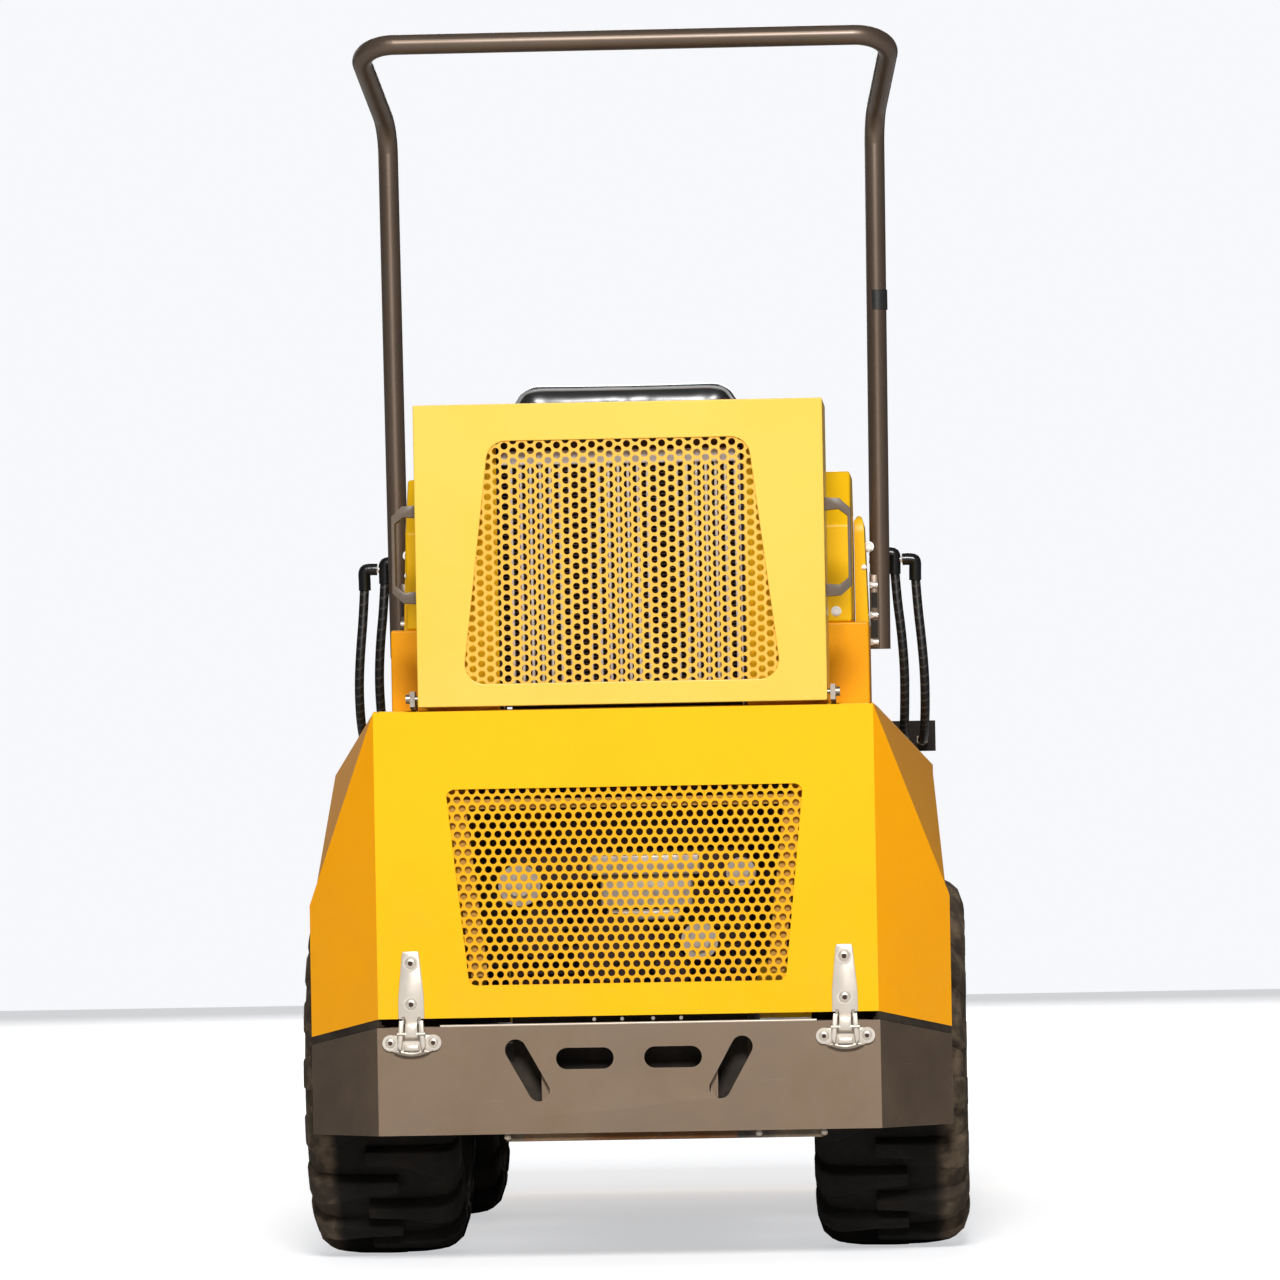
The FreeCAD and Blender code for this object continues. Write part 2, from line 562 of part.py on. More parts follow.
def trapezoid(low_half, top_half, base, high):
    return [(f"-{low_half}", base), (low_half, base), (top_half, f"{base} + {high}"),
            (f"-{top_half}", f"{base} + {high}")]


def grille_sheet(panel, skin):
    """Mesh sheet lapping its opening from behind the panel's skin."""
    low, top, base, high = [f"dims.{panel}_grille_{part}" for part in ("low", "top", "base", "high")]
    lap = "dims.grille_lap"
    corners = trapezoid(f"({low} + {lap})", f"({top} + {lap})", f"({base} - {lap})",
                        f"({high} + 2 * {lap})")
    return prism(f"{panel}_mesh", "XZ_Plane", corners, "dims.grille_wall",
                 ("0", f"{rear_y} + {skin} + dims.grille_wall", "0"))


def make_door():
    """Engine door: face with swept corners, open where its grille sits."""
    wall = flared_wall("door", "dims.door_half", "dims.door_top", "dims.door_low",
                       "dims.flare_top", "dims.flare_low", "dims.door_wall")
    opening = window("door_opening",
                     trapezoid("dims.door_grille_low", "dims.door_grille_top",
                               "dims.door_grille_base", "dims.door_grille_high"),
                     "dims.door_grille_round", 40)
    keep(cut("door_sheet", wall, opening), "engine_door")
    keep(grille_sheet("door", "dims.door_wall"), "door_grille")


def make_cover():
    """Cooler cover: back, top and sides folded from one sheet, open to the front."""
    high = "(dims.cover_top - dims.cover_low)"
    outer = box("cover_outer", ("2 * dims.cover_half", "dims.cover_deep", high),
                ("-dims.cover_half", rear_y, "dims.cover_low"))
    inner = box("cover_inner", ("2 * (dims.cover_half - dims.cover_wall)",
                                "dims.cover_deep + 10", high),
                ("-(dims.cover_half - dims.cover_wall)", f"{rear_y} + dims.cover_wall",
                 "dims.cover_low - dims.cover_wall"))
    opening = window("cover_opening",
                     trapezoid("dims.cover_grille_low", "dims.cover_grille_top",
                               "dims.cover_grille_base", "dims.cover_grille_high"),
                     "dims.cover_grille_round", 40)
    pin_holes = [rod(f"cover_pin_hole_{side}", "dims.cover_pin_radius + dims.pin_gap", "30",
                     (x, f"{rear_y} + dims.cover_pin_y", "dims.cover_pin_z"))
                 for side, x in (("right", "dims.cover_half - 20"), ("left", "-dims.cover_half - 10"))]
    keep(cut("cover_sheet", outer, fuse("cover_cuts", [inner, opening] + pin_holes)),
         "cooler_cover")
    keep(grille_sheet("cover", "dims.cover_wall"), "cooler_grille")


def make_cover_brackets():
    """Plates on the deck beside the cover, each with the bolt that the cover turns on."""
    gap, wall = "dims.running_gap", "dims.cover_lug"
    outline = [("dims.deck_back_gap + 40", "dims.deck_top"), ("dims.deck_back_gap", "dims.deck_top"),
               ("2", "dims.deck_top + 6"), ("2", "dims.cover_pin_z + 12"),
               ("dims.deck_back_gap", "dims.cover_pin_z + 12"), ("dims.deck_back_gap + 40",
                                                               "dims.deck_top + 12")]
    brackets = []
    for side, sign, x in (("right", 1, f"dims.cover_half + {gap}"),
                          ("left", -1, f"-(dims.cover_half + {gap} + {wall})")):
        plate = prism(f"cover_bracket_{side}", "YZ_Plane", outline, wall, (x, rear_y, "0"))
        long = f"({gap} + {wall} + 14)"
        near = "dims.cover_half - 8" if sign > 0 else f"-(dims.cover_half - 8 + {long})"
        bolt = rod(f"cover_bolt_{side}", "dims.cover_pin_radius", long,
                   (near, f"{rear_y} + dims.cover_pin_y", "dims.cover_pin_z"))
        brackets.append(fuse(f"cover_bracket_set_{side}", [plate, bolt]))
    keep(compound_of("cover_bracket_pair", brackets), "cover_brackets")


def make_handles():
    """Folded flat-bar pulls on both sides of the cover."""
    handles = []
    z_low = "(dims.handle_z - dims.handle_high / 2)"
    arm = "dims.handle_arm"
    off = "dims.handle_off"
    wall = "dims.handle_wall"
    outline = [("0", "0"), (f"{off} - {wall} - 8", "0"), (off, "dims.handle_slope"),
               (off, "dims.handle_high - dims.handle_slope"),
               (f"{off} - {wall} - 8", "dims.handle_high"), ("0", "dims.handle_high"),
               ("0", f"dims.handle_high - {arm} * 0.45"),
               (f"{off} - {wall} - 12", f"dims.handle_high - {arm} * 0.45"),
               (f"{off} - {wall}", f"dims.handle_high - dims.handle_slope - 4"),
               (f"{off} - {wall}", "dims.handle_slope + 4"),
               (f"{off} - {wall} - 12", f"{arm} * 0.45"), ("0", f"{arm} * 0.45")]
    for side, sign in (("right", 1), ("left", -1)):
        corners = [(f"{sign} * (dims.cover_half + ({across}))", f"{z_low} + {up}")
                   for across, up in outline]
        handles.append(prism(f"handle_{side}", "XZ_Plane", corners, "dims.handle_deep",
                             ("0", f"{rear_y} + dims.handle_back + dims.handle_deep", "0")))
    keep(compound_of("handle_pair", handles), "cover_handles")


def make_cooler():
    """Oil cooler core on two feet behind the cover's grille."""
    core = box("cooler_core", ("2 * dims.cooler_half", "dims.cooler_deep", "dims.cooler_high"),
               ("-dims.cooler_half", f"{rear_y} + dims.cooler_gap", "dims.cooler_low"))
    feet = mirrored_box("cooler_foot", ("50", "dims.cooler_deep - 20",
                                        "dims.cooler_low - dims.deck_top"),
                        "dims.cooler_half - 90", f"{rear_y} + dims.cooler_gap + 10",
                        "dims.deck_top")
    keep(fuse("cooler_set", [core] + feet), "oil_cooler")
    gap = "dims.running_gap"
    baffles = mirrored_box("baffle", (f"dims.cover_half - dims.baffle_gap - dims.cooler_half - {gap}",
                                      "dims.baffle_wall", "dims.baffle_top - dims.deck_top"),
                           f"dims.cooler_half + {gap}", f"{rear_y} + dims.cooler_gap",
                           "dims.deck_top")
    keep(compound_of("baffle_pair", baffles), "cooler_baffles")


def rounded_wire(points, radii):
    """Straight runs joined by tangent arcs of the given radii."""
    edges = []
    start = points[0]
    for corner, radius, after in zip(points[1:-1], radii, points[2:]):
        back = (start - corner).normalize()
        ahead = (after - corner).normalize()
        half_turn = (math.pi - back.getAngle(ahead)) / 2
        reach = radius * math.tan(half_turn)
        first, last = corner + back * reach, corner + ahead * reach
        bisector = (back + ahead).normalize()
        middle = corner + bisector * (radius / math.cos(half_turn) - radius)
        edges += [Part.LineSegment(start, first).toShape(), Part.Arc(first, middle, last).toShape()]
        start = last
    edges.append(Part.LineSegment(start, points[-1]).toShape())
    return Part.Wire(edges)


def tube_along(wire, radius):
    start = wire.Edges[0].Vertexes[0].Point
    direction = wire.Edges[0].tangentAt(wire.Edges[0].FirstParameter)
    ring = Part.Wire([Part.Circle(start, direction, radius).toShape()])
    return wire.makePipeShell([ring], True, True)


def make_roll_bar():
    """One bent tube: two posts, arms leaning back over the seat, and a crossbar."""
    post_y = value(rear_y) + value("dims.rops_back")
    bar_y = value(rear_y) + value("dims.rops_bar_back")
    half = [Vector(value("dims.rops_foot_x"), post_y, value("dims.rops_foot")),
            Vector(value("dims.rops_kink_x"), post_y, value("dims.rops_kink")),
            Vector(value("dims.rops_bar_x"), bar_y, value("dims.rops_top"))]
    other = [Vector(-point.x, point.y, point.z) for point in reversed(half)]
    kink, bend = value("dims.rops_kink_bend"), value("dims.rops_bend")
    wire = rounded_wire(half + other, [kink, bend, bend, kink])
    low, thick = value("dims.flange_low"), value("dims.flange_half")
    reach = value("dims.rops_tube")
    flanges = [Part.makeBox(reach, 2 * thick, value("dims.flange_top") - low,
                            Vector(left, post_y - thick, low))
               for left in (half[0].x - reach, -half[0].x)]
    bar = tube_along(wire, value("dims.rops_tube"))
    keep(computed("roll_bar", bar.multiFuse(flanges)), "rops")


def make_seat():
    """Seat box, cushion and backrest; the soft pieces are plain closed solids."""
    seat_back = f"({rear_y} + dims.seat_y)"
    keep(box("seat_pan", ("2 * dims.seat_box_half", "dims.seat_deep - 60",
                          "dims.cushion_low - dims.deck_top"),
             ("-dims.seat_box_half", f"{seat_back} + 60", "dims.deck_top")), "seat_base")
    cushion = [("-dims.seat_half", "60"), ("-dims.seat_half + 30", "30"),
               ("dims.seat_half - 30", "30"), ("dims.seat_half", "60"),
               ("dims.seat_half", "dims.seat_deep - 50"),
               ("dims.seat_half - 50", "dims.seat_deep"),
               ("-dims.seat_half + 50", "dims.seat_deep"),
               ("-dims.seat_half", "dims.seat_deep - 50")]
    keep(prism("cushion", "XY_Plane", cushion, "dims.cushion_high",
               ("0", seat_back, "dims.cushion_low")), "seat_cushion")
    backrest = [("-dims.seat_half", "0"), ("dims.seat_half", "0"),
                ("dims.seat_half", "dims.back_high * 0.72"), ("dims.back_top_half",
                                                              "dims.back_high"),
                ("-dims.back_top_half", "dims.back_high"),
                ("-dims.seat_half", "dims.back_high * 0.72")]
    keep(prism("backrest", "XZ_Plane", backrest, "dims.back_thick",
               ("0", f"{seat_back} + dims.back_thick", "dims.back_low"),
               angle="dims.back_lean"), "seat_backrest")


def make_floor():
    """Foot plate ahead of the seat, its front edge short of the tower's swing."""
    plate = box("floor_sheet", ("2 * dims.floor_half", "dims.floor_back + dims.floor_ahead",
                                "dims.floor_wall"),
                ("-dims.floor_half", f"{pivot_y} - dims.floor_back", "dims.floor_low"))
    riser = box("floor_riser", ("2 * dims.floor_half", "dims.floor_wall",
                                "dims.deck_top - dims.deck_wall - dims.floor_low"),
                ("-dims.floor_half", f"{pivot_y} - dims.floor_back", "dims.floor_low"))
    feet = mirrored_box("floor_foot", ("30", "60", "dims.floor_low - dims.chassis_top"),
                        "dims.chassis_half - 60", f"{pivot_y} - dims.floor_back + 20",
                        "dims.chassis_top")
    keep(fuse("floor_set", [plate, riser] + feet), "floor_plate")


def make_steering():
    """Column rising from the foot plate and leaning back to the driver, with its wheel."""
    foot_y = f"({pivot_y} + dims.column_ahead)"
    foot_z = "(dims.floor_low + dims.floor_wall)"
    column = doc.addObject("Part::Cylinder", "column_tube")
    column.setExpression("Radius", "dims.column_radius")
    column.setExpression("Height", "dims.column_long - dims.column_rise")
    place(column, ("0", f"{foot_y} - dims.column_rise * sin(dims.column_lean)",
                   f"{foot_z} + dims.column_rise * cos(dims.column_lean)"),
          FreeCAD.Rotation(Vector(1, 0, 0), 1), "dims.column_lean")
    foot = box("column_foot", ("90", "70", "40"), ("-45", f"{foot_y} - 45", foot_z))
    keep(fuse("column_set", [column, foot]), "steering_column")
    ring = doc.addObject("Part::Torus", "steering_rim")
    ring.setExpression("Radius1", "dims.wheel_ring")
    ring.setExpression("Radius2", "dims.wheel_grip")
    hub = doc.addObject("Part::Cylinder", "steering_hub")
    hub.setExpression("Radius", "dims.column_radius + dims.wheel_spoke_half")
    hub.setExpression("Height", "dims.wheel_hub_high")
    hub.setExpression(".Placement.Base.z", "1 - dims.column_rise - dims.wheel_spoke_wall")
    spokes = []
    for index in range(3):
        spoke = doc.addObject("Part::Box", f"steering_spoke{index}")
        spoke.setExpression("Length", "dims.wheel_ring")
        spoke.setExpression("Width", "2 * dims.wheel_spoke_half")
        spoke.setExpression("Height", "dims.wheel_spoke_wall")
        turn = math.radians(90 + 120 * index)
        spoke.Placement.Rotation = FreeCAD.Rotation(Vector(0, 0, 1), math.degrees(turn))
        for axis, share in zip("xyz", (math.sin(turn), -math.cos(turn), 0)):
            spoke.setExpression(f".Placement.Base.{axis}", f"{share} * dims.wheel_spoke_half"
                                if axis != "z" else "-dims.wheel_spoke_wall / 2")
        spokes.append(spoke)
    wheel = fuse("steering_set", [ring, hub] + spokes)
    rise = "(dims.column_long + 15)"
    place(wheel, ("0", f"{foot_y} - {rise} * sin(dims.column_lean)",
                  f"{foot_z} + {rise} * cos(dims.column_lean)"),
          FreeCAD.Rotation(Vector(1, 0, 0), 1), "dims.column_lean")
    keep(wheel, "steering_wheel")


def make_levers():
    """Two hydraulic levers on each console's inner edge."""
    levers = []
    for side in (1, -1):
        for index in range(2):
            x = f"{side} * (dims.console_inner + dims.lever_inset)"
            y = f"{rear_y} + dims.lever_back + {index} * dims.lever_pitch"
            stem = rod(f"lever_stem{side}_{index}", "dims.lever_rod", "dims.lever_high",
                       (x, y, "dims.console_top"), UPRIGHT)
            knob = doc.addObject("Part::Sphere", f"lever_knob{side}_{index}")
            knob.setExpression("Radius", "dims.lever_knob")
            place(knob, (x, y, "dims.console_top + dims.lever_high"))
            levers.append(fuse(f"lever{side}_{index}", [stem, knob]))
    keep(compound_of("lever_set", levers), "control_levers")


def make_hinges():
    """Strap hinges: plates on the bumper, straps with knuckles on the door."""
    straps, plates = [], []
    for side, sign in (("right", 1), ("left", -1)):
        x = f"({sign} * dims.hinge_x)"
        y = f"({rear_y} - dims.hinge_axis_off)"
        knuckle = rod(f"knuckle_{side}", "dims.hinge_radius", "2 * dims.hinge_half",
                      (f"{x} - dims.hinge_half", y, "dims.hinge_axis_z"))
        strap = prism(f"strap_{side}", "XZ_Plane",
                      [(f"{x} - 23", "dims.hinge_axis_z"), (f"{x} + 23", "dims.hinge_axis_z"),
                       (f"{x} + 23", "dims.door_low + 12"),
                       (f"{x} + 14", "dims.door_low + dims.strap_high"),
                       (f"{x} - 14", "dims.door_low + dims.strap_high"),
                       (f"{x} - 23", "dims.door_low + 12")], "dims.strap_wall",
                      ("0", f"{rear_y} - 0.05", "0"))
        straps.append(fuse(f"strap_set_{side}", [knuckle, strap]))
        tabs = []
        for end, edge in (("inner", f"{x} - dims.hinge_plate_half"),
                          ("outer", f"{x} + dims.hinge_half + 1")):
            tabs.append(rod(f"hinge_tab_{side}_{end}", "dims.hinge_radius",
                            "dims.hinge_plate_half - dims.hinge_half - 1",
                            (edge, y, "dims.hinge_axis_z")))
        leaf = box(f"hinge_leaf_{side}", ("2 * dims.hinge_plate_half", "dims.strap_wall",
                                          "dims.hinge_axis_z - 12 - dims.hinge_plate_low"),
                   (f"{x} - dims.hinge_plate_half", f"{rear_y} - dims.strap_wall - 0.05",
                    "dims.hinge_plate_low"))
        ties = [box(f"hinge_tie_{side}_{end}",
                    ("dims.hinge_plate_half - dims.hinge_half - 1", "dims.strap_wall + 2",
                     "16"), (edge, f"{y} + 5 - 2", "dims.hinge_axis_z - 16"))
                for end, edge in (("inner", f"{x} - dims.hinge_plate_half"),
                                  ("outer", f"{x} + dims.hinge_half + 1"))]
        plates.append(fuse(f"hinge_plate_{side}", [leaf] + tabs + ties))
    keep(compound_of("strap_pair", straps), "hinge_straps")
    keep(compound_of("plate_pair", plates), "hinge_plates")


def closed_solid(corners):
    faces = [Part.Face(Part.makePolygon(points + points[:1])) for points in corners]
    return Part.Solid(Part.Shell(faces))


def spun_facets(profile, sides):
    """Closed ring of flat faces about the X axis from (along, radius) corners."""
    reach = 1 / math.cos(math.pi / sides)
    rows = []
    for index in range(sides):
        turn = 2 * math.pi * (index + 0.5) / sides
        rows.append([Vector(x, r * reach * math.sin(turn), r * reach * math.cos(turn))
                     for x, r in profile])
    spans = [[row[i - 1], row[i], after[i], after[i - 1]]
             for row, after in zip(rows, rows[1:] + rows[:1]) for i in range(len(profile))]
    return closed_solid(spans)


def make_lug():
    """Swept bar from past the crown out to the flank, widening as it goes."""
    top, half = value("dims.tyre_radius"), value("dims.tyre_width / 2")
    over, drop = value("dims.lug_over"), value("dims.lug_drop")
    sweep = math.tan(math.radians(value("dims.lug_slant")))
    inner, outer = value("dims.lug_inner_half"), value("dims.lug_outer_half")
    low = top - value("dims.lug_low")
    outline = [(-over, top - value("dims.lug_root")), (-over, top - drop),
               (half - value("dims.lug_bend"), top - value("dims.lug_fall")), (half, low),
               (half - value("dims.lug_foot"), low)]
    flanks = []
    for way in (1, -1):
        flanks.append([Vector(x, way * (inner + (outer - inner) * (x + over) / (half + over))
                              - sweep * x, z) for x, z in outline])
    right, left = flanks
    spans = [[right[i], right[i - 1], left[i - 1], left[i]] for i in range(len(outline))]
    return closed_solid([right, left[::-1]] + spans)


def make_tyre():
    """Carcass of flat facets with staggered lugs, turned to stand on one lug's corner."""
    half, bead, top = value("dims.tyre_width / 2"), value("dims.tyre_bead"), value("dims.tyre_radius")
    flank = [(half - 35, bead), (half - 5.5, bead + 60), (half - 11, top - 56),
             (half - 47, top - 25)]
    sides = int(value("dims.tyre_sides"))
    carcass = spun_facets(flank + [(-x, r) for x, r in reversed(flank)], sides)
    sweep = math.tan(math.radians(value("dims.lug_slant")))
    corner = value("dims.lug_over") * sweep + value("dims.lug_inner_half")
    lean = math.degrees(math.atan2(corner, top - value("dims.lug_drop")))
    lugs = []
    for index in range(sides):
        lug = make_lug()
        if index % 2:
            lug = lug.mirror(Vector(), Vector(1, 0, 0))
        lug.rotate(Vector(), Vector(1, 0, 0), lean - 360 * index / sides)
        lugs.append(lug)
    carcass.rotate(Vector(), Vector(1, 0, 0), lean)
    return carcass.multiFuse(lugs).removeSplitter()


def make_wheel(corner, side, axle_y, tyre):
    """Tyre and rim of one corner; the rim's dished face looks outwards."""
    at = (f"{side} * dims.track_half", axle_y, "dims.tyre_radius")
    facing = FreeCAD.Rotation(Vector(0, 0, 1), 0 if side > 0 else 180)
    body = place(computed(f"tyre_body_{corner}", tyre.copy()), at, UPRIGHT)
    keep(body, f"tyre_{corner}")
    barrel = "(dims.rim_radius - 0.3)"
    wall = "dims.rim_wall"
    hub_end = f"-(dims.hub_reach + {wall})"
    rim = [(hub_end, "0"), ("56", "0"), ("56", "44"), (f"30 + {wall}", "50"),
           (f"30 + {wall}", "96"), (f"52 + {wall}", f"{barrel} - 18"),
           ("dims.rim_half", f"{barrel} - {wall}"), ("dims.rim_half", barrel),
           ("-dims.rim_half", barrel), ("-dims.rim_half", f"{barrel} - {wall}"),
           ("40", f"{barrel} - {wall} - 6"), ("30", "96"), ("30", "dims.hub_radius"),
           (hub_end, "dims.hub_radius")]
    keep(turned(f"rim_body_{corner}", rim, at, facing), f"rim_{corner}")


def make_front_frame():
    """Box between the front wheels with its tongue in the rear half's fork."""
    wall, half = "dims.front_wall", "dims.front_half"
    start = f"({pivot_y} + dims.front_back)"
    long = "(dims.front_end - dims.front_back)"
    high = "(dims.front_top - dims.front_low)"
    outline = [("0", "dims.front_low"), (long, "dims.front_low"), (long, "dims.front_top - 60"),
               (f"{long} - 60", "dims.front_top"), ("0", "dims.front_top")]
    hole = [(("dims.front_axle_ahead - dims.front_back", "dims.tyre_radius"),
             "dims.axle_radius + dims.pin_gap")]
    pieces = [prism(f"front_side_{name}", "YZ_Plane", outline, wall, (x, start, "0"), holes=hole)
              for name, x in (("right", f"{half} - {wall}"), ("left", f"-{half}"))]
    inner = f"({half} - {wall})"
    pieces.append(box("front_belly", (f"2 * {inner}", long, "8"),
                      (f"-{inner}", start, "dims.front_low")))
    pieces.append(box("front_roof", (f"2 * {inner}", f"{long} - 62", "8"),
                      (f"-{inner}", start, "dims.front_top - 8")))
    pieces.append(box("front_back_plate", (f"2 * {inner}", wall, high),
                      (f"-{inner}", start, "dims.front_low")))
    tongue_low = "(dims.chassis_low + dims.ear_wall + 3)"
    tongue_top = "(dims.chassis_top - dims.ear_wall - 3)"
    bore = "dims.pivot_pin_radius + dims.pin_gap"
    pieces.append(prism("front_tongue", "XY_Plane",
                        [("-50", f"dims.front_back + 6"), ("-50", "-20"), ("-30", "-50"),
                         ("30", "-50"), ("50", "-20"), ("50", "dims.front_back + 6")],
                        f"{tongue_top} - {tongue_low}", ("0", pivot_y, tongue_low),
                        holes=[(("0", "0"), bore)]))
    arm = [("dims.steer_pin_x - 26", "-20"), ("dims.steer_pin_x - 12", "-26"),
           ("dims.steer_pin_x + 8", "-26"), ("dims.steer_pin_x + 20", "-14"),
           ("dims.steer_pin_x + 20", "24"), (half, "60"), (half, "dims.front_back + 6"),
           ("dims.steer_pin_x - 80", "dims.front_back + 6"), ("dims.steer_pin_x - 26", "50")]
    for name, z in (("low", "dims.steer_z - dims.eye_half - 16"),
                    ("top", "dims.steer_z + dims.eye_half + 4")):
        pieces.append(prism(f"steer_arm_{name}", "XY_Plane", arm, "12", ("0", pivot_y, z)))
    keep(fuse("front_frame_set", pieces), "front_frame")


def make_tower():
    """Two plates that carry the boom's pivot and the lift cylinder's foot."""
    pin, top, ring = "dims.boom_pin_ahead", "dims.boom_pin_z", "dims.tower_round"
    low = "dims.front_top"
    outline = [("70", low), ("dims.tower_end", low), ("dims.tower_end - 30", f"{low} + 60"),
               (f"{pin} + {ring}", f"{top} - 120"), (f"{pin} + {ring}", f"{top} + {ring} * 0.4"),
               (f"{pin} + {ring} * 0.5", f"{top} + {ring}"),
               (f"{pin} - {ring} * 0.5", f"{top} + {ring}"),
               (f"{pin} - {ring}", f"{top} + {ring} * 0.4"), (f"{pin} - {ring}", f"{low} + 260"),
               ("160", f"{low} + 90"), ("70", f"{low} + 90")]
    holes = [((pin, top), "dims.boom_pin_radius"),
             (("dims.lift_foot_ahead", "dims.lift_foot_z"), "dims.eye_pin")]
    plates = [prism(f"tower_{name}", "YZ_Plane", outline, "dims.tower_wall",
                    (x, pivot_y, "0"), holes=holes)
              for name, x in (("right", "dims.tower_inner"),
                              ("left", "-dims.tower_inner - dims.tower_wall"))]
    tie = box("tower_tie", ("2 * dims.tower_inner + 2 * dims.tower_wall", "12", "150"),
              ("-dims.tower_inner - dims.tower_wall", f"{pivot_y} + dims.tower_end - 60", low))
    foot = [box(f"tower_foot_{name}", ("60", "dims.tower_end - 150", "12"),
                (x, f"{pivot_y} + 140", low))
            for name, x in (("right", "dims.tower_inner + dims.tower_wall"),
                            ("left", "-dims.tower_inner - dims.tower_wall - 60"))]
    keep(fuse("tower_set", plates + [tie] + foot), "boom_tower")


def cross_pin(name, radius, half, y, z):
    return rod(name, radius, f"2 * ({half})", (f"-({half})", y, z))


def make_front_pins():
    out = "dims.tower_inner + dims.tower_wall + 10"
    pins = [cross_pin("boom_pivot_shaft", "dims.boom_pin_radius", out, boom_pin_y,
                      "dims.boom_pin_z"),
            cross_pin("lift_foot_shaft", "dims.eye_pin", out,
                      f"{pivot_y} + dims.lift_foot_ahead", "dims.lift_foot_z")]
    keep(compound_of("front_pin_pair", pins), "tower_pins")


def on_boom(item):
    """Carry an object drawn along the level boom to the boom's own place."""
    return place(item, ("0", boom_pin_y, "dims.boom_pin_z"),
                 FreeCAD.Rotation(Vector(1, 0, 0), 1), "-dims.boom_angle")


def make_boom():
    """Two side plates with a top plate all along and a belly plate ahead of the cylinder."""
    half, wall, tip = "dims.boom_half", "dims.boom_wall", "dims.boom_length"
    deep, eye = "dims.boom_deep / 2", "dims.boom_eye"
    outline = [("0", f"-{eye}"), ("150", f"-{deep}"), (f"{tip} - 350", f"-{deep}"),
               (f"{tip} - 20", "-38"), (f"{tip} + 20", "-32"), (f"{tip} + 38", "0"),
               (f"{tip} + 20", "32"), (f"{tip} - 20", "38"), (f"{tip} - 350", deep),
               ("150", deep), ("0", eye), (f"-{eye} * 0.8", f"{eye} * 0.6"),
               (f"-{eye} * 0.8", f"-{eye} * 0.6")]
    holes = [(("0", "0"), "dims.boom_pin_radius + dims.pin_gap"), ((tip, "0"), "dims.eye_pin + 6"),
             (("dims.lift_pin_along", "-dims.lift_pin_drop"), "dims.eye_pin")]
    pieces = [prism(f"boom_side_{name}", "YZ_Plane", outline, wall, (x, "0", "0"), holes=holes)
              for name, x in (("right", f"{half} - {wall}"), ("left", f"-{half}"))]
    inner = f"({half} - {wall})"
    pieces.append(box("boom_top_plate", (f"2 * {inner}", f"{tip} - 500", "dims.boom_plate"),
                      (f"-{inner}", "150", f"{deep} - dims.boom_plate")))
    pieces.append(box("boom_belly_plate", (f"2 * {inner}", f"{tip} - 850", "dims.boom_plate"),
                      (f"-{inner}", "500", f"-{deep}")))
    for name, along, radius, bore in (
            ("root", "0", f"{eye} - 6", "dims.boom_pin_radius + dims.pin_gap"),
            ("tip", tip, "30", "dims.eye_pin + 6")):
        tube = rod(f"boom_tube_{name}", radius, f"2 * {inner}", (f"-{inner}", along, "0"))
        hollow = rod(f"boom_bore_{name}", bore, f"2 * {inner} + 2", (f"-{inner} - 1", along, "0"))
        pieces.append(cut(f"boom_eye_{name}", tube, hollow))
    ear = [("dims.tilt_foot_along - 60", f"{deep} - 4"), ("dims.tilt_foot_along + 60", f"{deep} - 4"),
           ("dims.tilt_foot_along + 20", "dims.tilt_foot_rise + 22"),
           ("dims.tilt_foot_along - 20", "dims.tilt_foot_rise + 22")]
    gap = "(dims.tilt_barrel + dims.running_gap)"
    for name, x in (("right", gap), ("left", f"-{gap} - 10")):
        pieces.append(prism(f"tilt_ear_{name}", "YZ_Plane", ear, "10", (x, "0", "0"),
                            holes=[(("dims.tilt_foot_along", "dims.tilt_foot_rise"),
                                    "dims.eye_pin")]))
    keep(on_boom(fuse("boom_set", pieces)), "boom")


def make_boom_pins():
    """Pins that the boom carries; the lift cylinder's upper pin is a stub each side."""
    out = "dims.boom_half"
    pins = [cross_pin("tilt_foot_shaft", "dims.eye_pin", "dims.tilt_barrel + dims.running_gap + 16",
                      "dims.tilt_foot_along", "dims.tilt_foot_rise"),
            cross_pin("bucket_shaft", "dims.eye_pin + 6", "dims.bucket_ear_gap"
                      " + dims.bucket_ear_wall + 10", "dims.boom_length", "0")]
    for name, x in (("right", f"{out} - dims.boom_wall + 1"), ("left", f"-{out} - 5")):
        pins.append(rod(f"lift_stub_{name}", "dims.eye_pin", "dims.boom_wall + 4",
                        (x, "dims.lift_pin_along", "-dims.lift_pin_drop")))
    keep(on_boom(compound_of("boom_pin_set", pins)), "boom_pins")


